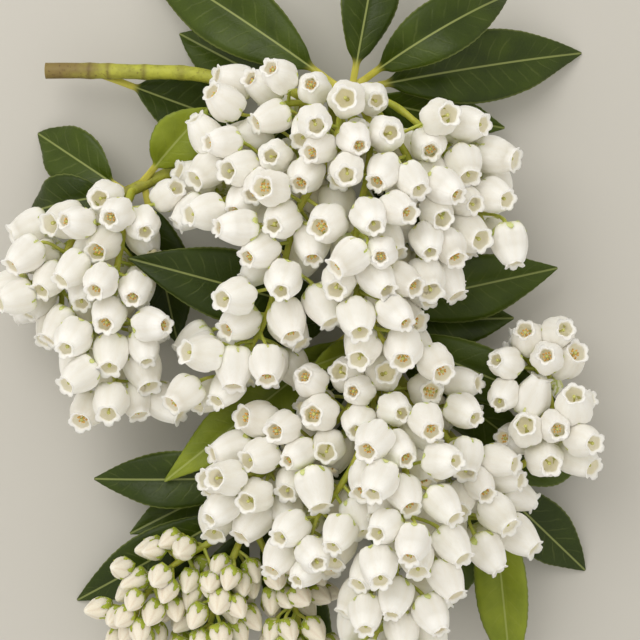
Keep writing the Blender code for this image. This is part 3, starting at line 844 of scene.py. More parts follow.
class Branch:
    """The whole branch, grown on the plan by the rule of its solids."""

    def __init__(self) -> None:
        """Lay out the stems and rachises, seat the leaves and grow the flowers."""
        cut = Vector(frame["record"]["mounts"][0]["pos_m"])
        self.shift = cut - on_plan(*STEMS["main_stem"].points[0])
        self.limbs: dict[str, Limb] = {}
        for name, plan in STEMS.items():
            radii = tuple(r * MM for r in plan.radii)
            self.limbs[name] = self.limb(plan.parent, plan, STEM_STEP, radii)
        rachises = {
            name: self.limb(plan.stem, plan, RACHIS_STEP, RACHIS_RADII) for name, plan in SPRAYS.items()
        }
        stalks = [rachis.balls() for rachis in rachises.values()]
        self.leaves, trees = self.seated_leaves(stalks)
        crowd = Crowd(list(trees.values()))
        for order, balls in enumerate(stalks):
            crowd.add(balls, order)
        sprays = [Spray(order, SPRAYS[name], rachis) for order, (name, rachis) in enumerate(rachises.items())]
        for number in range(max(spray.count for spray in sprays)):
            for spray in sprays:
                if number < spray.count:
                    spray.grow(number, crowd)
        self.sprays = dict(zip(rachises, sprays))
        for name, spray in self.sprays.items():
            low, high = (Vector(corner) - self.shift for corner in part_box(name))
            room = (low - EXTRA_MARGIN, high + EXTRA_MARGIN, trees[SHOWN_LEAF])
            spray.fill_in(crowd, Terms(EXTRA_TRIES, (EXTRA_PRESS, EXTRA_PRESS), EXTRA_SIZE, *room))

    def limb(
        self, parent: str | None, plan: StemPlan | SprayPlan, step: float, radii: tuple[float, float]
    ) -> Limb:
        """A stem or a rachis, seated on its parent if it has one.

        Args:
            parent: the name of the stem that bears it.
            plan: its plan.
            step: the length of the rule's steps.
            radii: its radius at its two ends.

        Returns:
            The limb.
        """
        points = [on_plan(*p) for p in plan.points]
        if parent:
            points.insert(0, self.limbs[parent].seat(plan.share, points[0], radii[0]))
        return Limb(points, step, radii)

    def seated_leaves(self, stalks: list[Balls]) -> tuple[dict[str, Midrib], dict[str, BVHTree]]:
        """The leaves, seated one after another on the stems' solids.

        Args:
            stalks: the balls of each rachis.

        Returns:
            Their midribs, and the search trees of all stems and leaves.
        """
        trees = {}
        for name in STEMS:
            mesh = frame["nodes"][name].data
            corners = [v.co - self.shift for v in mesh.vertices]
            trees[name] = tree_of(corners, [tuple(p.vertices) for p in mesh.polygons])
        leaves = {}
        for name, plan in LEAVES.items():
            limb, home = self.limbs[plan.stem], trees[plan.stem]
            leaves[name], trees[name] = place_leaf(plan, limb, home, list(trees.values()), stalks)
        return leaves, trees


def tint(red: float, green: float, blue: float) -> tuple[float, float, float, float]:
    """A screen colour, each part 0 to 255, as the linear colour that a material takes."""
    parts = [c / 255 for c in (red, green, blue)]
    return (*[p / 12.92 if p <= 0.04045 else ((p + 0.055) / 1.055) ** 2.4 for p in parts], 1.0)


def operator(operation: str, swapped: bool = False) -> Callable:
    """An operator of wires, which adds a Math node.

    Args:
        operation: what the node does.
        swapped: whether the right side comes first.

    Returns:
        The method.
    """

    def run(self: "Wire", other: "Wire | float") -> "Wire":
        """The node's output."""
        return self.maths(operation, *((other, self) if swapped else (self, other)))

    return run


@dataclass(frozen=True)
class Wire:
    """A node's output, which takes part in Python expressions."""

    graph: "Graph"
    socket: bpy.types.NodeSocket

    __add__ = __radd__ = operator("ADD")
    __mul__ = __rmul__ = operator("MULTIPLY")
    __sub__ = operator("SUBTRACT")
    __rsub__ = operator("SUBTRACT", swapped=True)
    __mod__ = operator("FLOORED_MODULO")

    def maths(self, operation: str, *terms: "Wire | float") -> "Wire":
        """A Math node on these terms."""
        return self.graph.add("ShaderNodeMath", dict(enumerate(terms)), operation=operation)

    def __abs__(self) -> "Wire":
        """Size without sign."""
        return self.maths("ABSOLUTE", self)

    def ease(self, low: float, high: float) -> "Wire":
        """Smooth step from 0 at low to 1 at high."""
        sockets = {"Value": self, "From Min": low, "From Max": high}
        return self.graph.add("ShaderNodeMapRange", sockets, interpolation_type="SMOOTHSTEP")


class Graph:
    """A tree of nodes under construction."""

    def __init__(self, tree: bpy.types.NodeTree) -> None:
        """Start on this tree."""
        self.tree = tree

    def feed(self, socket: bpy.types.NodeSocket, value: Wire | float | tuple) -> None:
        """Link a wire to a socket, or set the socket's own value.

        Args:
            socket: a node's input.
            value: the wire or the value.
        """
        if isinstance(value, Wire):
            self.tree.links.new(value.socket, socket)
        else:
            socket.default_value = value

    def add(self, kind: str, sockets: dict | None = None, output: int | str = 0, **settings: str) -> Wire:
        """Any node.

        Args:
            kind: the node's type.
            sockets: its inputs, by name or index, with values or wires.
            output: the output to go on with.
            settings: its properties, set first.

        Returns:
            That output.
        """
        node = self.tree.nodes.new(kind)
        for label, value in settings.items():
            setattr(node, label, value)
        for label, value in (sockets or {}).items():
            self.feed(node.inputs[label], value)
        return Wire(self, node.outputs[output])


class Skin(Graph):
    """A material under construction: one shader, fed by wires."""

    def __init__(self, name: str, constants: dict | None = None) -> None:
        """Start a material.

        Args:
            name: the material's name.
            constants: the shader's sockets that are the same all over it, with their values.
        """
        self.material = bpy.data.materials.new(name)
        self.material.use_nodes = True
        super().__init__(self.material.node_tree)
        self.shader = self.tree.nodes["Principled BSDF"].inputs
        for label, value in (constants or {}).items():
            self.shader[label].default_value = value

    def place(self) -> Wire:
        """The place on the piece, in its own measures."""
        return self.add("ShaderNodeTexCoord", output="Object")

    def noise(self, scale: float, detail: float = 2.0, at: Wire | None = None) -> Wire:
        """Noise from 0 to 1, this many features to a metre or to a unit of the given place."""
        sockets = {"Vector": at or self.place(), "Scale": scale, "Detail": detail}
        return self.add("ShaderNodeTexNoise", sockets)

    def carried(self, name: str, output: str = "Fac") -> Wire:
        """What the mesh carries under a name, as a number or by the output Vector."""
        return self.add("ShaderNodeAttribute", output=output, attribute_name=name)

    def parts(self, name: str) -> list[Wire]:
        """The three parts of a vector that the mesh carries."""
        split = self.add("ShaderNodeSeparateXYZ", {0: self.carried(name, "Vector")})
        return [Wire(self, socket) for socket in split.socket.node.outputs]

    def mix(self, first: Wire | tuple, second: Wire | tuple, factor: Wire | float) -> Wire:
        """Colours mixed. The node names its colour sockets like its others, so they go by number."""
        return self.add("ShaderNodeMix", {0: factor, 6: first, 7: second}, 2, data_type="RGBA")

    def finish(self, colour: Wire, roughness: Wire, height: Wire, depth: float) -> bpy.types.Material:
        """Feed the shader.

        Args:
            colour: the base colour.
            roughness: the roughness.
            height: the relief, from 0 to 1.
            depth: how deep the relief is, in metres.

        Returns:
            The finished material.
        """
        bump = self.add("ShaderNodeBump", {"Strength": 1.0, "Distance": depth, "Height": height}, "Normal")
        for label, wire in (("Base Color", colour), ("Roughness", roughness), ("Normal", bump)):
            self.feed(self.shader[label], wire)
        return self.material


DRIFT = (0.35, 0.65)  # the noise between which one colour gives way to another


@dataclass(frozen=True)
class PetalFinish:
    """Waxy petals, green-tinged at the foot, with painted shade in the creases and a painted glow in the
    mouth for light through thin petals.
    """

    name: str
    bright: tuple = tint(251, 249, 244)
    # the veins' darker tint, also used as painted shade in the creases
    shade: tuple = tint(245, 240, 231)
    foot: tuple = tint(214, 220, 150)
    mouth: tuple = tint(247, 243, 226)
    foot_reach: float = 0.30
    foot_share: float = 0.55
    # painted glow: an emission in the lining that stands in for light coming through the thin petals
    glow: tuple = (0.50, 0.45, 0.325, 1.0)
    glow_strength: float = 0.2
    vein_scale: tuple = (14.0, 14.0, 1.6)
    vein_range: tuple = (0.45, 0.75)
    crease_shade_range: tuple = (0.0, 0.55)
    crease_shade_share: float = 0.45
    mouth_range: tuple = (0.80, 0.97)
    mouth_share: float = 0.9
    glow_range: tuple = (0.82, 0.95)
    roughness: tuple = (0.55, 0.18)
    grain_scale: float = 5200.0
    depth: float = 0.00004

    def paint(self) -> bpy.types.Material:
        """Fine lengthwise veins, painted shade in the creases and a greenish foot.

        Returns:
            The material.
        """
        constants = {
            "Subsurface Weight": 0.8, "Subsurface Scale": 0.0012, "Subsurface Radius": (1.0, 1.0, 1.0),
            "Specular IOR Level": 0.2, "Emission Strength": self.glow_strength,
        }
        skin = Skin(self.name, constants)
        reach, inside, pleat = skin.parts("trait")
        tone = skin.carried("tone")
        stretch = {0: skin.carried("place", "Vector"), 1: self.vein_scale}
        veins = skin.noise(1.0, 3.0, skin.add("ShaderNodeVectorMath", stretch, operation="MULTIPLY"))
        body = skin.mix(self.bright, self.shade, veins.ease(*self.vein_range) * 0.5 + tone * 0.2)
        # painted shade: the creases are darkened towards the shade colour
        body = skin.mix(body, self.shade, (1 - pleat.ease(*self.crease_shade_range)) * self.crease_shade_share)
        foot = (1 - reach.ease(0.0, self.foot_reach)) * (self.foot_share * (0.5 + tone * 0.7))
        body = skin.mix(body, self.foot, foot)
        deep = inside * (1 - reach.ease(*self.mouth_range)) * self.mouth_share
        body = skin.mix(body, self.mouth, deep)
        # painted glow: the lining deep in the mouth emits, as if lit through the petals
        lit = skin.mix((0.0, 0.0, 0.0, 1.0), self.glow, inside * (1 - reach.ease(*self.glow_range)))
        skin.feed(skin.shader["Emission Color"], lit)
        grain = skin.noise(self.grain_scale)
        least, more = self.roughness
        return skin.finish(body, least + grain * more, veins * 0.5 + grain * 0.5, self.depth)


@dataclass(frozen=True)
class GreenFinish:
    """A green stalk or calyx in two greens that drift, flecked."""

    name: str
    base: tuple
    other: tuple
    fleck: tuple
    fleck_share: float = 0.4
    drift_scale: float = 300.0
    spot_scale: float = 1800.0
    spot_range: tuple = (0.60, 0.72)
    roughness: tuple = (0.40, 0.25)
    depth: float = 0.00010

    def paint(self) -> bpy.types.Material:
        """The greens and their flecks.

        Returns:
            The material.
        """
        skin = Skin(self.name, {"Subsurface Weight": 0.12, "Subsurface Scale": 0.0008})
        drift = skin.noise(self.drift_scale, 3.0)
        body = skin.mix(self.base, self.other, drift.ease(*DRIFT))
        spots = skin.noise(self.spot_scale, 4.0)
        body = skin.mix(body, self.fleck, spots.ease(*self.spot_range) * self.fleck_share)
        least, more = self.roughness
        return skin.finish(body, least + spots * more, spots * 0.6 + drift * 0.4, self.depth)


@dataclass(frozen=True)
class ShootFinish:
    """The skin of a woody shoot: yellow green and young at its tip, brown and fissured at its cut."""

    name: str = "shoot_bark"
    young: tuple = tint(178, 180, 62)
    ripe: tuple = tint(154, 156, 52)
    old: tuple = tint(122, 96, 58)
    fleck: tuple = tint(92, 68, 36)
    drift_scale: float = 420.0
    fleck_scale: float = 1900.0
    fleck_range: tuple = (0.56, 0.70)
    old_range: tuple = (0.30, 0.95)
    old_share: float = 0.85
    scar_share: float = 0.55
    roughness: tuple = (0.42, 0.3)
    depth: float = 0.00016

    def paint(self) -> bpy.types.Material:
        """Green that browns with age, with corky flecks and rings at the leaf scars.

        Returns:
            The material.
        """
        skin = Skin(self.name, {"Specular IOR Level": 0.45})
        age = skin.carried("age")
        drift = skin.noise(self.drift_scale, 4.0)
        flecks = skin.noise(self.fleck_scale, 4.0)
        body = skin.mix(self.young, self.ripe, drift.ease(*DRIFT))
        worn = (age + (drift - 0.5) * 0.5).ease(*self.old_range) * self.old_share
        body = skin.mix(body, self.old, worn)
        body = skin.mix(body, self.fleck, flecks.ease(*self.fleck_range) * (0.35 + age * 0.4))
        body = skin.mix(body, self.fleck, skin.carried("scar") * self.scar_share)
        least, more = self.roughness
        return skin.finish(body, least + flecks * more, flecks * 0.7 + drift * 0.3, self.depth)


@dataclass(frozen=True)
class LeafFinish:
    """A leathery leaf: glossy and dark above with a pale midrib and fine veins, dull and pale below."""

    name: str
    dark: tuple
    light: tuple
    midrib: tuple = tint(172, 180, 108)
    margin: tuple = tint(112, 122, 62)
    stalk: tuple = tint(202, 194, 84)
    under: tuple = tint(122, 138, 92)
    drift_scale: float = 170.0
    cell_scale: float = 1300.0
    veins_per_mm: float = 0.40
    vein_slant: float = 1.5
    vein_waver: float = 1.1
    vein_share: float = 0.07
    midrib_range: tuple = (0.10, 0.22)
    margin_range: tuple = (0.93, 0.99)
    margin_share: float = 0.7
    stalk_range: tuple = (0.06, 0.14)
    depth: float = 0.00012

    def paint(self) -> bpy.types.Material:
        """Greens, veins and margins laid out by the leaf's own measures.

        Returns:
            The material.
        """
        skin = Skin(self.name, {"Specular IOR Level": 0.24})
        across, width, along = skin.parts("place")
        top, tone, _ = skin.parts("trait")
        reach = skin.carried("reach")
        beside = abs(across)
        drift = skin.noise(self.drift_scale, 3.0)
        net = {"Vector": skin.place(), "Scale": self.cell_scale}
        cells = skin.add("ShaderNodeTexVoronoi", net, feature="DISTANCE_TO_EDGE")
        run = (along * self.veins_per_mm - beside * self.vein_slant + drift * self.vein_waver) % 1.0
        vein = (1 - abs(run - 0.5).ease(0.02, 0.10)) * beside.ease(0.04, 0.16)
        vein *= 1 - beside.ease(0.55, 0.85)
        rib = 1 - abs(width).ease(*self.midrib_range)
        body = skin.mix(self.dark, self.light, (drift * 0.8 + tone * 0.5).ease(0.35, 0.95))
        body = skin.mix(body, self.light, (1 - cells.ease(0.0, 0.12)) * 0.08)
        body = skin.mix(body, self.midrib, vein * (drift.ease(0.3, 0.6) * self.vein_share))
        body = skin.mix(body, self.margin, beside.ease(*self.margin_range) * self.margin_share)
        body = skin.mix(self.under, body, top)
        body = skin.mix(body, self.midrib, rib * (0.72 + reach * -0.3))
        body = skin.mix(body, self.stalk, 1 - reach.ease(*self.stalk_range))
        gloss = 0.30 + cells.ease(0.0, 0.3) * 0.06 + drift * 0.16 + (1 - top) * 0.25
        relief = cells.ease(0.0, 0.25) * 0.1 + (1 - vein) * 0.2 + drift * 0.3
        return skin.finish(body, gloss, relief, self.depth)


@dataclass(frozen=True)
class PlainFinish:
    """A small part of a flower in two near colours."""

    name: str
    base: tuple
    other: tuple
    grain_scale: float = 3500.0
    depth: float = 0.00008

    def paint(self) -> bpy.types.Material:
        """Two colours that drift, and a fine grain.

        Returns:
            The material.
        """
        skin = Skin(self.name)
        grain = skin.noise(self.grain_scale, 3.0)
        body = skin.mix(self.base, self.other, grain.ease(*DRIFT))
        return skin.finish(body, 0.5 + grain * 0.3, grain, self.depth)


@dataclass(frozen=True)
class CutFinish:
    """Fresh cut wood: a pale pith, wood with fine rings, and a thin green rim under the bark."""

    name: str = "cut_wood"
    pith: tuple = tint(214, 200, 160)
    wood: tuple = tint(226, 212, 168)
    ring: tuple = tint(188, 164, 112)
    rim: tuple = tint(136, 140, 58)
    rings: float = 5
    ring_share: float = 0.6
    pith_range: tuple = (0.12, 0.2)
    rim_range: tuple = (0.84, 0.9)
    grain_scale: float = 6000.0
    depth: float = 0.00005

    def paint(self) -> bpy.types.Material:
        """Rings laid out by the distance from the pith.

        Returns:
            The material.
        """
        skin = Skin(self.name)
        reach = skin.carried("reach")
        grain = skin.noise(self.grain_scale, 3.0)
        rings = (reach * self.rings + grain * 0.4) % 1.0
        line = 1 - abs(rings - 0.5).ease(0.05, 0.3)
        body = skin.mix(self.wood, self.ring, line * self.ring_share)
        body = skin.mix(self.pith, body, reach.ease(*self.pith_range))
        body = skin.mix(body, self.rim, reach.ease(*self.rim_range))
        return skin.finish(body, 0.7 + grain * 0.2, grain, self.depth)


class Carry(Enum):
    """What a mesh carries at each of its points."""

    NUMBER = "FLOAT"
    COUNT = "INT"
    VECTOR = "FLOAT_VECTOR"


def mesh_of(
    name: str, corners: list, faces: list, edges: list | None = None, **carried: list
) -> bpy.types.Mesh:
    """A smooth mesh with attributes.

    Args:
        name: the mesh's name.
        corners: its points.
        faces: its faces.
        edges: its edges, where it has no faces.
        carried: what its points carry, as numbers, whole numbers or vectors.

    Returns:
        The mesh.
    """
    mesh = bpy.data.meshes.new(name)
    mesh.from_pydata([tuple(c) for c in corners], edges or [], faces)
    for label, values in carried.items():
        flat = np.array(values)
        kind = Carry.VECTOR if flat.ndim == 2 else Carry.COUNT if flat.dtype.kind == "i" else Carry.NUMBER
        layer = mesh.attributes.new(label, kind.value, "POINT")
        layer.data.foreach_set("vector" if kind is Carry.VECTOR else "value", flat.ravel())
    mesh.shade_smooth()
    return mesh


def add_thing(name: str, data: bpy.types.ID, place: tuple = (0, 0, 0)) -> bpy.types.Object:
    """An object of the scene.

    Args:
        name: its name.
        data: its mesh, lamp or camera.
        place: where it is.

    Returns:
        The object.
    """
    thing = bpy.data.objects.new(name, data)
    thing.location = place
    bpy.context.scene.collection.objects.link(thing)
    return thing


def add_piece(name: str, mesh: bpy.types.Mesh, skin: bpy.types.Material) -> bpy.types.Object:
    """An object of the scene with one material."""
    mesh.materials.append(skin)
    return add_thing(name, mesh)


def hand_over(piece: bpy.types.Object, slot: str, nodes: list[str]) -> None:
    """Let a piece ride on the branch, and report it.

    Args:
        piece: the piece.
        slot: not used.
        nodes: the nodes that it stands for.
    """
    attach(piece, BODY)
    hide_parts(*nodes)
    log.info("%s: %d faces for %d solids", piece.name, len(piece.data.polygons), len(nodes))


class Recipe(Graph):
    """A Geometry Nodes tree that turns a plain mesh into a finished piece."""

    def __init__(self, name: str, inputs: dict[str, str]) -> None:
        """Start a tree.

        Args:
            name: the tree's name.
            inputs: its named inputs and their kinds.
        """
        super().__init__(bpy.data.node_groups.new(name, "GeometryNodeTree"))
        face = self.tree.interface
        for label, kind in {"Geometry": "Geometry", **inputs, "Skin": "Material"}.items():
            face.new_socket(label, in_out="INPUT", socket_type=f"NodeSocket{kind}")
        face.new_socket("Geometry", in_out="OUTPUT", socket_type="NodeSocketGeometry")
        entry = self.tree.nodes.new("NodeGroupInput")
        self.entry = {socket.name: Wire(self, socket) for socket in entry.outputs}

    def carried(self, name: str, kind: Carry) -> Wire:
        """What the points carry under a name."""
        return self.add("GeometryNodeInputNamedAttribute", {"Name": name}, data_type=kind.value)

    def finish(self, geometry: Wire) -> None:
        """End the tree: real geometry, smooth and with its material.

        Args:
            geometry: what the tree has made.
        """
        whole = self.add("GeometryNodeRealizeInstances", {"Geometry": geometry})
        smooth_faces = self.add("GeometryNodeSetShadeSmooth", {"Geometry": whole})
        skinned = self.add(
            "GeometryNodeSetMaterial", {"Geometry": smooth_faces, "Material": self.entry["Skin"]}
        )
        self.feed(self.tree.nodes.new("NodeGroupOutput").inputs[0], skinned)

    def make(self, name: str, mesh: bpy.types.Mesh, values: dict) -> bpy.types.Object:
        """Run the tree on a mesh.

        Args:
            name: the piece's name.
            mesh: what the tree starts from.
            values: the tree's inputs by name.

        Returns:
            The piece, a plain mesh.
        """
        thing = add_thing(name, mesh)
        modifier = thing.modifiers.new(self.tree.name, "NODES")
        modifier.node_group = self.tree
        for item in self.tree.interface.items_tree:
            if item.in_out == "INPUT" and item.name in values:
                modifier[item.identifier] = values[item.name]
        bpy.context.view_layer.update()
        made = bpy.data.meshes.new_from_object(thing.evaluated_get(bpy.context.evaluated_depsgraph_get()))
        thing.modifiers.clear()
        thing.data = made
        made.name = name
        return thing


class Tubing(Recipe):
    """Round skins along paths, as thick as each point's girth, with a noisy relief."""

    def __init__(self) -> None:
        """Build the tree."""
        super().__init__("tubing", {"Sides": "Int", "Relief": "Float", "Grain": "Float"})
        curve = self.add("GeometryNodeMeshToCurve", {"Mesh": self.entry["Geometry"]})
        ring = self.add(
            "GeometryNodeCurvePrimitiveCircle", {"Resolution": self.entry["Sides"], "Radius": 1.0}
        )
        sockets = {"Curve": curve, "Profile Curve": ring, "Scale": self.carried("girth", Carry.NUMBER)}
        tube = self.add("GeometryNodeCurveToMesh", {**sockets, "Fill Caps": True})
        noise = self.add("ShaderNodeTexNoise", {"Scale": self.entry["Grain"], "Detail": 3.0})
        deep = (noise - 0.5) * self.entry["Relief"]
        sockets = {0: self.add("GeometryNodeInputNormal"), "Scale": deep}
        push = self.add("ShaderNodeVectorMath", sockets, operation="SCALE")
        self.finish(self.add("GeometryNodeSetPosition", {"Geometry": tube, "Offset": push}))


class Scatter(Recipe):
    """One of several shapes on each point, turned and sized as the point says."""

    def __init__(self) -> None:
        """Build the tree."""
        super().__init__("scatter", {"Shapes": "Collection"})
        sockets = {"Collection": self.entry["Shapes"], "Separate Children": True, "Reset Children": True}
        shapes = self.add("GeometryNodeCollectionInfo", sockets)
        turn = self.add("FunctionNodeEulerToRotation", {0: self.carried("turn", Carry.VECTOR)})
        sockets = {"Points": self.entry["Geometry"], "Instance": shapes, "Pick Instance": True}
        sockets |= {"Instance Index": self.carried("kind", Carry.COUNT), "Rotation": turn}
        sockets["Scale"] = self.carried("size", Carry.NUMBER)
        self.finish(self.add("GeometryNodeInstanceOnPoints", sockets))


@dataclass
class Strands:
    """Paths to be skinned by one run of the tubing, with the girth, age and scar at each point.

    Age is 0 for young skin to 1 for old bark, and scar is 1 on a leaf scar.
    """

    points: list[Vector] = field(default_factory=list)
    edges: list[tuple[int, int]] = field(default_factory=list)
    marks: list[tuple[float, float, float]] = field(default_factory=list)

    def add(self, path: list[Vector], marks: list[tuple[float, float, float]]) -> None:
        """One more path.

        Args:
            path: its points.
            marks: the girth, age and scar at each.
        """
        start = len(self.points)
        self.points += path
        self.marks += marks
        self.edges += [(start + i, start + i + 1) for i in range(len(path) - 1)]

    def mesh(self, name: str) -> bpy.types.Mesh:
        """The paths as a mesh of edges."""
        girths, ages, scars = zip(*self.marks)
        return mesh_of(name, self.points, [], self.edges, girth=girths, age=ages, scar=scars)


def profile_at(profile: tuple, share: float) -> float:
    """Radius at a share of the length, read between the steps of a profile."""
    return float(np.interp(share, *zip(*profile)))


def flute(share: float, ridge: float) -> float:
    """How far a bell's skin stands out.

    Args:
        share: the place, as a share of the bell's length.
        ridge: 0 in a crease to 1 in a petal's middle.

    Returns:
        The share of its full radius.
    """
    depth = float(np.interp(share, *BELL_CREASES))
    broad, sharp = CREASE_SHARES
    return 1 - depth * (broad * (1 - ridge**2) + sharp * (1 - ridge) ** SHARPNESS)


def bump(off: float, reach: float) -> float:
    """A round bump: 1 in its middle, and less the further off it is against its reach."""
    return math.exp(-((off / reach) ** 2))


def turns_of(sides: int, way: int = 1) -> list[float]:
    """The angles of a ring's corners."""
    return [way * 2 * math.pi * i / sides for i in range(sides)]


def round_corner(turn: float, out: float, high: float) -> tuple[float, float, float]:
    """A corner at this angle about +Z, this far out and this high."""
    return math.cos(turn) * out, math.sin(turn) * out, high


@dataclass(frozen=True)
class Corolla:
    """The skin of a flower: its rings, its size and how its corners lie.

    A ring has its shares of the length, of the radius and of the lobes, and whether it faces in. The last
    corner, in the middle of the last ring, has its share, whether it faces in, and the pattern's height.
    """

    rings: list[tuple[float, float, float, bool]]
    radius: float
    length: float
    last: tuple[float, float, float]
    lean: float = 0.0
    twist: float = 0.0

    def mesh(self, name: str, shape: Callable, tip: float | None = None) -> bpy.types.Mesh:
        """The skin along +Z from its foot.

        Args:
            name: the mesh's name.
            shape: how far out a corner lies and how high, as shares, by its ring, its ridge and its petal.
            tip: how high the last corner lies, where it isn't in its ring.

        Returns:
            The mesh, with its traits and its pattern's place.
        """
        per_petal = BELL_SIDES // PETALS
        rows, trait, place = [], [], []
        for ring in self.rings:
            share, inside = ring[0], ring[3]
            row = []
            for i in range(BELL_SIDES):
                ridge = math.sin(math.pi * (i % per_petal) / per_petal)
                out, high = shape(ring, ridge, i // per_petal)
                turn = 2 * math.pi * i / BELL_SIDES + self.twist * share**2
                x, y, z = round_corner(turn, out, high)
                off = self.lean * self.radius * share**2
                row.append((x * self.radius + off, y * self.radius, z * self.length))
                trait.append((share, float(inside), ridge))
                place.append((x, y, share + INNER * inside))
            rows.append(row)
        corners, faces = closed(rows)
        if tip is not None:
            corners[-1] = (0.0, 0.0, tip)
        share, inside, high = self.last
        trait += [(0.0, 0.0, 1.0), (share, inside, 1.0)]
        place += [(0.0, 0.0, 0.0), (0.0, 0.0, high)]
        return mesh_of(name, corners, faces, trait=trait, place=place)


@dataclass(frozen=True)
class BellShape:
    """One bell: its girth and length against the common one, its mouth, its lobes' flare and its lean."""

    girth: float
    reach: float
    mouth: float
    flare: float
    lean: float
    seed: int
    swell_spread: float = 0.03
    curl_spread: float = 0.35

    def mesh(self, name: str) -> bpy.types.Mesh:
        """The bell, with its creases, its curled lobes and its lining.

        Args:
            name: the mesh's name.

        Returns:
            The mesh.
        """
        dice = random.Random(self.seed)
        swell = [1 + dice.uniform(-self.swell_spread, self.swell_spread) for _ in range(PETALS)]
        curl = [1 + dice.uniform(-self.curl_spread, self.curl_spread) for _ in range(PETALS)]
        lobe_share = 1.0 if self.flare < CURLED else CURLED_REACH
        rings = [(share, wide, 0.0, False) for share, wide in BELL_SKIN]
        rings += [(share, LIP_RADIUS * self.mouth + gain, lobe, inside) for share, gain, lobe, inside in LIP]
        for share, wide in BELL_LINING:
            rings.append((share, wide * (self.mouth if share > LINING_MOUTH else 1), 0.0, True))

        def shape(ring: tuple, ridge: float, petal: int) -> tuple[float, float]:
            """Where a corner lies.

            Args:
                ring: its ring.
                ridge: 0 in a crease to 1 in a petal's middle.
                petal: its petal's number.

            Returns:
                Its shares of the radius and the length.
            """
            share, wide, lobe, _ = ring
            lift = lobe * ridge**LOBE_POWER * curl[petal]
            out = wide * flute(share, ridge) * (1 + (swell[petal] - 1) * ridge)
            out += LOBE_FLARE * self.flare * lift
            return out, min(share + LOBE_REACH * lift * lobe_share, 1.0)

        radius = BELL.radius * BELL_GIRTH * self.girth
        last = (BELL_LINING[-1][0], 1.0, INNER)
        return Corolla(rings, radius, BELL.length * self.reach, last, self.lean).mesh(name, shape)


def bud_mesh(name: str, seed: int) -> bpy.types.Mesh:
    """A closed bud, with five seams and a twisted tip.

    Args:
        name: the mesh's name.
        seed: what its draws start from.

    Returns:
        The mesh.
    """
    dice = random.Random(seed)
    twist = dice.uniform(-BUD_TWIST, BUD_TWIST)
    radius = BUD.radius * dice.uniform(*BUD_GIRTHS)

    def shape(ring: tuple, ridge: float, _: int) -> tuple[float, float]:
        """A corner's shares of the radius and the length."""
        share, wide, *_ = ring
        return wide * (1 - (BUD_CREASES[0] + BUD_CREASES[1] * share**3) * (1 - ridge) ** SHARPNESS), share

    rings = [(share, wide, 0.0, False) for share, wide in BUD_SKIN]
    bud = Corolla(rings, radius, BUD.length, (1.0, 0.0, 1.0), twist=twist)
    return bud.mesh(name, shape, BUD_TIP * BUD.length)


@dataclass(frozen=True)
class Calyx:
    """Five pointed sepals that hug a flower's foot, by the shares of its length that they reach."""

    profile: tuple
    length: float
    radius: float
    tips: tuple[float, ...]
    notches: tuple[float, ...]
    proud: float = 0.12e-3
    sunk: float = -0.15e-3
    foot: tuple[float, float] = (-0.035, 0.42e-3)
    tuck: float = 0.94

    def mesh(self, name: str) -> bpy.types.Mesh:
        """The calyx, a closed shell whose tips lie over the petals' creases.

        Args:
            name: the mesh's name.

        Returns:
            The mesh.
        """
        rings = [(tip, notch, self.proud) for tip, notch in zip(self.tips, self.notches)]
        rings.append((self.tips[-1] * self.tuck, self.notches[-1], self.sunk))
        rings.append((self.tips[0], self.notches[0], self.sunk))
        turns = turns_of(SEPAL_SIDES)
        rows = [[round_corner(turn, self.foot[1], self.foot[0] * self.length) for turn in turns]]
        for tip, notch, proud in rings:
            rows.append([self.hug(turn, (tip, notch)[i % 2], i % 2, proud) for i, turn in enumerate(turns)])
        return mesh_of(name, *closed(rows))

    def hug(self, turn: float, share: float, ridge: int, proud: float) -> tuple[float, float, float]:
        """A corner this far proud of the flower's skin."""
        skin = profile_at(self.profile, share) * self.radius
        return round_corner(turn, skin * flute(share, ridge) + proud, share * self.length)


def style_mesh(name: str) -> bpy.types.Mesh:
    """The style that stands in a bell, with the stigma on its end.

    Args:
        name: the mesh's name.

    Returns:
        The mesh.
    """
    turns = turns_of(STYLE_SIDES)
    rows = [[round_corner(turn, out, share * BELL.length) for turn in turns] for share, out in STYLE]
    return mesh_of(name, *closed(rows))


def anthers_mesh(name: str) -> bpy.types.Mesh:
    """The ring of anthers round the style, one grain each.

    Args:
        name: the mesh's name.

    Returns:
        The mesh.
    """
    corners, faces = [], []
    for i, turn in enumerate(turns_of(ANTHERS)):
        share, far = ANTHER_RINGS[i % 2]
        mid = Vector(round_corner(turn, far, share * BELL.length))
        way = Vector(round_corner(turn, 1, 0))
        out, beside, high = (axis * half for axis, half in zip((way, UP.cross(way), UP), ANTHER_HALVES))
        bottom = len(corners)
        corners += [mid - high, mid + out, mid + beside, mid - out, mid - beside, mid + high]
        top = len(corners) - 1
        for j in range(4):
            k, following = bottom + 1 + j, bottom + 1 + (j + 1) % 4
            faces += [(following, k, bottom), (k, following, top)]
    return mesh_of(name, corners, faces)


@dataclass(frozen=True)
class Seat:
    """Where the scatter sets a shape: its place, turn and size, which shape it is, and its tone."""

    place: Vector
    turn: tuple[float, float, float]
    size: float
    kind: int
    tone: float


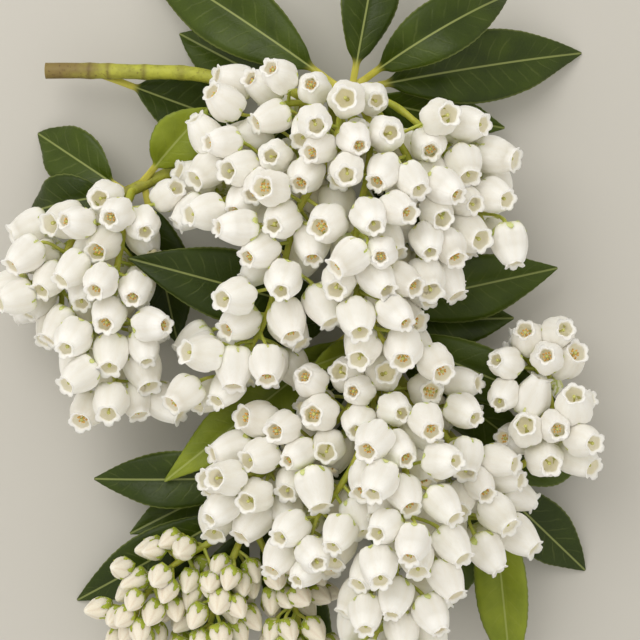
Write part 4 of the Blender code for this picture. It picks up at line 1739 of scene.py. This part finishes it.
@dataclass(frozen=True)
class Shoots:
    """The woody stems: the main stem with its cut, and the side shoots sunk in their parents."""

    branch: Branch
    step: float = 0.7e-3
    sides: int = 28
    sunk_shares: tuple[float, ...] = (0.0, 0.35, 0.7)
    collar: float = 0.30
    collar_reach: float = 1.8e-3
    slim: float = 0.84
    node_swell: float = 0.09
    node_reach: float = 1.0e-3
    scar_reach: float = 0.35e-3
    least_dome: float = 0.02
    relief: float = 0.09e-3
    grain: float = 900.0
    cut_age_reach: float = 26e-3
    bare_scars: tuple[float, ...] = (0.20, 0.315, 0.43, 0.56, 0.66)
    cut_rings: tuple = ((0.86, 0.5e-3), (0.93, 0.02e-3), (0.84, -0.06e-3), (0.5, -0.08e-3), (0.15, -0.06e-3))

    def build(self, tubing: Tubing) -> None:
        """Skin each stem and close the cut.

        Args:
            tubing: what skins them.
        """
        finish = ShootFinish().paint()
        values = {"Sides": self.sides, "Relief": self.relief, "Grain": self.grain, "Skin": finish}
        for name, limb in self.branch.limbs.items():
            piece = tubing.make(f"{name}_bark", self.strand(name, limb).mesh(name), values)
            hand_over(piece, "green_shoot" if STEMS[name].parent else "bark", [name])
        self.close_cut()

    def strand(self, name: str, limb: Limb) -> Strands:
        """A stem's path with its collar, its swollen nodes, its scars and its domed tip.

        Args:
            name: the stem's name.
            limb: the stem.

        Returns:
            The path, ready to be skinned.
        """
        plan = STEMS[name]
        path = smooth(limb.route, self.step)
        if plan.parent:
            root = at_share(self.branch.limbs[plan.parent].path, plan.share)[0]
            path = [root.lerp(path[0], share) for share in self.sunk_shares] + path
        total = lengths_along(path)
        whole = total[-1]
        shares = [leaf.share for leaf in LEAVES.values() if leaf.stem == name]
        scars = [share * whole for share in (*shares, *self.bare_scars)]
        marks = []
        for far in total:
            girth = limb.radius_at(far / whole)
            girth *= 1 + self.collar * bump(far, self.collar_reach) if plan.parent else self.slim
            girth *= 1 + self.node_swell * max(bump(far - scar, self.node_reach) for scar in scars)
            left = (whole - far) / limb.radii[1]
            girth *= math.sqrt(max(self.least_dome, 1 - (1 - left) ** 2)) if left < 1 else 1
            age = 0.0 if plan.parent else max(0.0, 1 - far / self.cut_age_reach)
            marks.append((girth, age, max(bump(far - scar, self.scar_reach) for scar in scars)))
        strand = Strands()
        strand.add([point + self.branch.shift for point in path], marks)
        return strand

    def close_cut(self) -> None:
        """A disc of bare wood in the cut end."""
        limb = self.branch.limbs["main_stem"]
        centre, along = limb.path[0] + self.branch.shift, (limb.path[1] - limb.path[0]).normalized()
        side = along.cross(UP).normalized()
        other = side.cross(along)
        ways = [side * math.cos(a) + other * math.sin(a) for a in turns_of(self.sides, -1)]
        rows, reach = [], []
        for share, depth in self.cut_rings:
            out = limb.radii[0] * self.slim * share
            rows.append([centre + along * depth + way * out for way in ways])
            reach += [share] * self.sides
        mesh = mesh_of("cut_face", *closed(rows), reach=[*reach, 0.5, 0.0])
        hand_over(add_piece("cut_face", mesh, CutFinish().paint()), "bark", ["main_stem"])


@dataclass(frozen=True)
class Foliage:
    """The leaves, each with its stalk sunk in its stem."""

    branch: Branch
    stations: int = 72
    columns: int = 10
    sunk: int = 2
    sunk_step: float = 0.4
    stalk_half: tuple[float, float] = (0.82, 0.62)
    stalk_groove: float = 0.55
    flat_from: float = 0.8
    flat_over: float = 0.09
    thickness: float = 0.30e-3
    groove: float = 0.16e-3
    ridge: float = 0.30e-3
    midrib_half: float = 0.42e-3
    camber: float = 0.07
    teeth_from: float = 0.2
    tooth_step: float = 1.25e-3
    tooth_depth: float = 0.14e-3
    tooth_fade: float = 8
    fold_power: float = 1.25
    wave_count: float = 2.6
    wave_depth: float = 0.34e-3
    wave_power: float = 1.6
    wave_fade: float = 5
    midrib_taper: float = 0.7
    edge_taper: float = 0.5
    floor_skin: float = 0.02e-3

    def build(self) -> None:
        """One piece for each leaf."""
        dark = LeafFinish("leaf_gloss_dark", tint(41, 55, 2), tint(64, 80, 9)).paint()
        bright = LeafFinish("leaf_gloss_bright", tint(90, 106, 18), tint(134, 146, 40)).paint()
        for order, (name, midrib) in enumerate(self.branch.leaves.items()):
            young = name in BRIGHT_LEAVES
            mesh = self.blade(name, midrib, random.Random(SEED * BLADE_DRAWS + order))
            piece = add_piece(f"{name}_blade", mesh, bright if young else dark)
            hand_over(piece, "leaf_bright_green" if young else "leaf_dark_green", [name])

    def blade(self, name: str, midrib: Midrib, dice: random.Random) -> bpy.types.Mesh:
        """A whole leaf: a round stalk that widens into a thin, toothed, grooved and waved blade.

        Args:
            name: the leaf's name.
            midrib: its middle line.
            dice: its own draws.

        Returns:
            The leaf's mesh.
        """
        start, *_, tip = midrib.handles
        length = (tip - start).length
        phases = (dice.uniform(0, 2 * math.pi), dice.uniform(0, 2 * math.pi))
        tone = dice.random()
        columns = [2 * i / self.columns - 1 for i in range(self.columns + 1)]
        round_trip = [(q, True) for q in columns] + [(q, False) for q in reversed(columns)]
        rings, place, trait, reach = [], [], [], []
        for i in range(-self.sunk, self.stations + 1):
            share = max(0.0, i / self.stations)
            centre, side, normal = midrib.frame_at(share)
            if i < 0:
                centre = start.lerp(midrib.root, -self.sunk_step * i)
            half = self.toothed(midrib.plan.half_at(share), share, length)
            flat = min(1.0, max(0.0, (share - PETIOLE_SHARE * self.flat_from) / self.flat_over))
            flat = flat * flat * (3 - 2 * flat)
            corners = []
            for q, top in round_trip:
                across = q * half
                stalk_x, stalk_z = self.stalk_corner(q, top)
                out = self.rise(q, half, share, phases[0 if q < 0 else 1], flat)
                out += self.skin(q, across, share, top)
                x = across * flat + stalk_x * (1 - flat)
                z = out * flat + stalk_z * (1 - flat)
                corner = centre + side * x + normal * z + self.branch.shift
                corner.z = max(corner.z, self.floor_skin * (2 if top else 1))
                corners.append(corner)
                place.append((q, across / MM, share * length / MM))
                trait.append((float(top), tone, 0.0))
                reach.append(share)
            rings.append(corners)
        place += [place[0], place[-1]]
        trait += [trait[0], trait[-1]]
        reach += [0.0, 1.0]
        return mesh_of(name, *closed(rings), place=place, trait=trait, reach=reach)

    def toothed(self, half: float, share: float, length: float) -> float:
        """Half the leaf's width with its teeth.

        Args:
            half: the same without them.
            share: the place, as a share of the leaf.
            length: the leaf's length.

        Returns:
            Half its width there.
        """
        if share > self.teeth_from:
            tooth = (share * length / self.tooth_step) % 1.0
            half += self.tooth_depth * (tooth - 0.5) * min(1.0, (1 - share) * self.tooth_fade)
        return half

    def rise(self, q: float, half: float, share: float, phase: float, flat: float) -> float:
        """How far the blade's middle sheet rises out of the midrib's plane, by its fold, camber and waves.

        Args:
            q: the place across the blade, -1 to 1.
            half: half the blade's width.
            share: the place along the leaf, as a share.
            phase: where this side's waves start.
            flat: 0 on the stalk to 1 on the blade.

        Returns:
            The rise.
        """
        out = FOLD * half * abs(q) ** self.fold_power * flat
        out += self.camber * half * math.sin(math.pi * abs(q)) * flat
        wave = self.wave_depth * math.sin(2 * math.pi * self.wave_count * share + phase)
        return out + wave * abs(q) ** self.wave_power * flat * min(1.0, (1 - share) * self.wave_fade)

    def skin(self, q: float, across: float, share: float, top: bool) -> float:
        """How far a skin lies from the blade's middle sheet, with the midrib's groove or ridge.

        Args:
            q: the place across the blade, -1 to 1.
            across: the same place in metres.
            share: the place along the leaf, as a share.
            top: whether it is the upper skin.

        Returns:
            The distance, below the sheet less than 0.
        """
        rib = bump(across, self.midrib_half) * (1 - self.midrib_taper * share)
        thin = self.thickness / 2 * (1 - self.edge_taper * abs(q) ** 4)
        return thin - self.groove * rib if top else -thin - self.ridge * rib

    def stalk_corner(self, q: float, top: bool) -> tuple[float, float]:
        """A corner of the stalk's round section, which is flatter above.

        Args:
            q: the place across the blade that the corner grows into, -1 to 1.
            top: whether it is above.

        Returns:
            Its offsets across the stalk and out of it.
        """
        angle = math.pi * (q + 1) / 2
        wide, high = self.stalk_half
        z = math.sin(angle) * PETIOLE_HALF * high
        return -math.cos(angle) * PETIOLE_HALF * wide, z * self.stalk_groove if top else -z


class Region(Enum):
    """Where a spray hangs, by the stem that carries it."""

    UPPER = ("main_stem",)
    LEFT = ("left_shoot",)
    LOWER = ("centre_shoot", "lower_right_shoot", "lower_left_shoot")


@dataclass(frozen=True)
class Part:
    """A part that many flowers have: its name, its shapes, its finish and its slot.

    Buds says which flowers have it, and share how many of them, chosen by their tones.
    """

    name: str
    shapes: list[bpy.types.Mesh]
    finish: PetalFinish | GreenFinish | PlainFinish
    slot: str
    buds: bool = False
    share: float = 1.0


def stock(part: Part) -> bpy.types.Collection:
    """A part's shapes as a collection outside the scene, from which the scatter picks by number.

    Args:
        part: the part.

    Returns:
        The collection.
    """
    kept = bpy.data.collections.new(part.name)
    for number, mesh in enumerate(part.shapes):
        kept.objects.link(bpy.data.objects.new(f"{part.name}_{number}", mesh))
    return kept


def seats_mesh(name: str, seats: list[Seat]) -> bpy.types.Mesh:
    """Seats as a mesh of points that carry what each says."""
    said = {label: [getattr(seat, label) for seat in seats] for label in ("turn", "size", "kind", "tone")}
    return mesh_of(name, [seat.place for seat in seats], [], **said)


@dataclass(frozen=True)
class Blossom:
    """The sprays in full: rachises, pedicels, bells with sepals, styles and anthers, and buds."""

    branch: Branch
    rachis_step: float = 1.0e-3
    rachis_girth: float = 0.92
    rachis_collar: float = 0.35
    rachis_collar_reach: float = 1.6e-3
    rachis_waves: float = 0.10
    rachis_wave_step: float = 0.9e-3
    pedicel_steps: int = 6
    pedicel_girths: tuple = ((0.0, 0.3, 0.75, 1.0), (0.40e-3, 0.30e-3, 0.30e-3, 0.44e-3))
    pedicel_sunk: float = 0.2e-3
    bell_shapes: tuple[BellShape, ...] = (
        BellShape(1.00, 1.00, 1.00, 1.00, 0.00, 1),
        BellShape(0.96, 1.00, 0.90, 1.20, 0.05, 2),
        BellShape(1.00, 0.97, 1.12, 0.90, 0.03, 3),
        BellShape(0.97, 0.99, 1.02, 1.40, 0.07, 4),
        BellShape(0.94, 0.98, 0.84, 0.80, 0.04, 5),
    )
    bud_seeds: tuple[int, ...] = (11, 12, 13)
    anther_share: float = 0.4
    tone_folds: int = 7

    def build(self, tubing: Tubing, scatter: Scatter) -> None:
        """Dress every spray, region by region.

        Args:
            tubing: what skins the stalks.
            scatter: what sets out the shapes.
        """
        green = GreenFinish("rachis_green", tint(192, 192, 70), tint(168, 174, 52), tint(140, 100, 50))
        pale = GreenFinish("pedicel_green", tint(204, 208, 96), tint(184, 194, 76), tint(150, 120, 70), 0.2)
        rachis = {"Sides": 12, "Relief": 0.10e-3, "Grain": 1100.0, "Skin": green.paint()}
        pedicel = {"Sides": 7, "Relief": 0.04e-3, "Grain": 1500.0, "Skin": pale.paint()}
        stocks = [(part, stock(part), part.finish.paint()) for part in self.parts()]
        for region in Region:
            where = region.name.lower()
            sprays = {n: s for n, s in self.branch.sprays.items() if s.plan.stem in region.value}
            rachises, pedicels = Strands(), Strands()
            for spray in sprays.values():
                self.lay_rachis(rachises, spray)
                for flower in spray.flowers:
                    self.lay_pedicel(pedicels, flower)
            for name, strands, values in (("rachises", rachises, rachis), ("pedicels", pedicels, pedicel)):
                piece = tubing.make(f"{name}_{where}", strands.mesh(name), values)
                hand_over(piece, "green_shoot", list(sprays))
            for part, shapes, skin in stocks:
                nodes = [name for name, spray in sprays.items() if spray.plan.buds == part.buds]
                if nodes:
                    name = f"{part.name}_{where}"
                    mesh = seats_mesh(name, self.seats(nodes, part))
                    piece = scatter.make(name, mesh, {"Shapes": shapes, "Skin": skin})
                    hand_over(piece, part.slot, nodes)
        for _, shapes, _ in stocks:
            for thing in list(shapes.objects):
                bpy.data.objects.remove(thing)
            bpy.data.collections.remove(shapes)

    def parts(self) -> list[Part]:
        """What bells and buds are made of.

        Returns:
            The parts, in the order in which they are set out.
        """
        petal = PetalFinish("petal_wax")
        # blush tints the bud's veins, and is also the painted shade in its creases
        cream, blush_and_crease_shade = tint(236, 230, 214), tint(222, 208, 190)
        bud = PetalFinish("bud_wax", cream, blush_and_crease_shade, tint(190, 194, 104), tint(150, 146, 100), 0.5, 0.7)
        sepal = GreenFinish("sepal_green", tint(214, 220, 148), tint(192, 202, 104), tint(170, 150, 90), 0.15)
        lime = GreenFinish("bud_sepal_green", tint(170, 182, 60), tint(150, 166, 42), tint(150, 120, 60), 0.2)
        style = PlainFinish("style_green", tint(206, 206, 130), tint(184, 186, 92))
        anther = PlainFinish("anther_brown", tint(242, 204, 118), tint(216, 156, 78))
        girth = BELL.radius * BELL_GIRTH
        calyx = Calyx(
            BELL_SKIN, BELL.length, girth,
            tips=(0.02, 0.08, 0.17, 0.27), notches=(0.0, 0.03, 0.05, 0.06),
        )
        cup = Calyx(
            BUD_SKIN, BUD.length, BUD.radius,
            tips=(0.05, 0.20, 0.40, 0.58), notches=(0.03, 0.12, 0.18, 0.22), proud=0.22e-3,
        )
        bells = [shape.mesh("bell_shape") for shape in self.bell_shapes]
        buds = [bud_mesh("bud_shape", seed) for seed in self.bud_seeds]
        return [
            Part("bells", bells, petal, "petal"),
            Part("sepals", [calyx.mesh("sepal_shape")], sepal, "green_shoot"),
            Part("styles", [style_mesh("style_shape")], style, "petal"),
            Part("anthers", [anthers_mesh("anther_shape")], anther, "petal", share=self.anther_share),
            Part("buds", buds, bud, "bud", buds=True),
            Part("bud_sepals", [cup.mesh("bud_sepal_shape")], lime, "green_shoot", buds=True),
        ]

    def seats(self, names: list[str], part: Part) -> list[Seat]:
        """Every flower of these sprays that has a part, with a shape, a spin and a tone of its own.

        Args:
            names: the sprays' names.
            part: the part.

        Returns:
            The seats.
        """
        seats = []
        for name in names:
            spray = self.branch.sprays[name]
            dice = random.Random(SEED * SEAT_DRAWS + spray.order)
            kinds = len(self.bud_seeds if part.buds else self.bell_shapes)
            for flower in spray.flowers:
                spin, kind, tone = dice.uniform(0, 2 * math.pi), dice.randrange(kinds), dice.random()
                if (tone * self.tone_folds) % 1.0 < part.share:
                    turn = flower.way.to_track_quat("Z", "Y") @ Quaternion((0, 0, 1), spin)
                    place = flower.foot + self.branch.shift
                    kind %= len(part.shapes)
                    seats.append(Seat(place, tuple(turn.to_euler()), flower.size, kind, tone))
        return seats

    def lay_rachis(self, strands: Strands, spray: Spray) -> None:
        """A spray's rachis, sunk in its stem, with a collar and slight waves.

        Args:
            strands: what it joins.
            spray: the spray.
        """
        path = smooth(spray.rachis.route, self.rachis_step)
        root = at_share(self.branch.limbs[spray.plan.stem].path, spray.plan.share)[0]
        path = [root, root.lerp(path[0], 0.5)] + path
        total = lengths_along(path)
        marks = []
        for far in total:
            girth = spray.rachis.radius_at(far / total[-1]) * self.rachis_girth
            girth *= 1 + self.rachis_collar * bump(far, self.rachis_collar_reach)
            girth *= 1 + self.rachis_waves * math.sin(far / self.rachis_wave_step + spray.order)
            marks.append((girth, 0.0, 0.0))
        strands.add([point + self.branch.shift for point in path], marks)

    def lay_pedicel(self, strands: Strands, flower: Flower) -> None:
        """A flower's stalk, which leaves the rachis squarely and bends into the flower's own way.

        Args:
            strands: what it joins.
            flower: the flower.
        """
        start, foot = flower.start, flower.foot
        rise = foot - start
        bend = flower.way * rise.length
        path, marks = [], []
        for i in range(self.pedicel_steps + 1):
            t = i / self.pedicel_steps
            near_start = start * (2 * t**3 - 3 * t**2 + 1) + rise * (t**3 - 2 * t**2 + t)
            near_end = foot * (3 * t**2 - 2 * t**3) + bend * (t**3 - t**2)
            path.append(near_start + near_end + self.branch.shift)
            marks.append((float(np.interp(t, *self.pedicel_girths)), 0.0, 0.0))
        path.append(foot + flower.way * self.pedicel_sunk + self.branch.shift)
        strands.add(path, [*marks, marks[-1]])


@dataclass(frozen=True)
class Studio:
    """A plain pale floor, a big soft lamp and a camera that looks straight down."""

    shift: Vector
    lens: float = 100.0
    sensor: float = 36.0
    span: float = 2 * PLAN_MIDDLE * PLAN_STEP
    in_focus: float = 22e-3
    lamp_place: tuple[float, float, float] = (-0.16, 0.20, 0.42)
    lamp_size: float = 0.30
    lamp_power: float = 0.85
    lamp_tint: tuple[float, float, float] = (1.0, 0.98, 0.94)
    sky_tint: tuple = tint(255, 252, 245)
    sky_power: float = 0.86
    floor_tint: tuple = tint(196, 193, 186)
    floor_side: float = 2.4
    floor_roughness: float = 0.9

    def build(self) -> None:
        """Set the floor, the light and the camera."""
        self.lay_floor()
        self.hang_lamp()
        self.place_camera()
        bpy.context.scene.view_settings.view_transform = "Standard"

    def lay_floor(self) -> None:
        """A plain matt floor under the branch."""
        half = self.floor_side / 2
        corners = [(-half, -half, 0), (half, -half, 0), (half, half, 0), (-half, half, 0)]
        mesh = bpy.data.meshes.new("floor")
        mesh.from_pydata(corners, [], [(0, 1, 2, 3)])
        skin = Skin("floor_paper", {"Roughness": self.floor_roughness, "Base Color": self.floor_tint})
        add_piece("floor", mesh, skin.material)

    def hang_lamp(self) -> None:
        """One soft lamp from the upper left, and a pale sky."""
        lamp = bpy.data.lights.new("soft_lamp", "AREA")
        lamp.size = self.lamp_size
        lamp.energy = self.lamp_power
        lamp.color = self.lamp_tint
        thing = add_thing("soft_lamp", lamp, self.lamp_place)
        thing.rotation_euler = (-Vector(self.lamp_place)).to_track_quat("-Z", "Y").to_euler()
        world = bpy.data.worlds.new("pale_sky")
        bpy.context.scene.world = world
        world.use_nodes = True
        sky = world.node_tree.nodes["Background"].inputs
        sky["Color"].default_value = self.sky_tint
        sky["Strength"].default_value = self.sky_power

    def place_camera(self) -> None:
        """A long lens above the plan's middle."""
        camera = bpy.data.cameras.new("camera")
        camera.lens = self.lens
        camera.sensor_width = self.sensor
        away = self.in_focus + self.span * self.lens / self.sensor
        place = (self.shift.x, self.shift.y, self.shift.z + away)
        bpy.context.scene.camera = add_thing("camera", camera, place)


def report_fit(branch: Branch) -> None:
    """Log how far the rule's leaves lie from their solids, and how many flowers there are.

    Args:
        branch: the branch.
    """
    worst = 0.0
    for name, midrib in branch.leaves.items():
        corners = [c + branch.shift for c in midrib.solid()[0]]
        for ends, corner in zip((min, max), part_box(name)):
            worst = max(worst, *(abs(ends(c[axis] for c in corners) - corner[axis]) for axis in range(3)))
    log.info("the leaves lie within %.4f mm of their solids", worst / MM)
    ruled = sum(spray.ruled for spray in branch.sprays.values())
    count = sum(len(spray.flowers) for spray in branch.sprays.values())
    log.info("%d flowers by the rule, %d with those between", ruled, count)


def main() -> None:
    """Grow the branch, dress it, and set it in its light."""
    logging.basicConfig(level=logging.INFO, format="%(message)s")
    branch = Branch()
    report_fit(branch)
    tubing, scatter = Tubing(), Scatter()
    Shoots(branch).build(tubing)
    Foliage(branch).build()
    Blossom(branch).build(tubing, scatter)
    Studio(branch.shift).build()


if __name__ == "__main__":
    main()
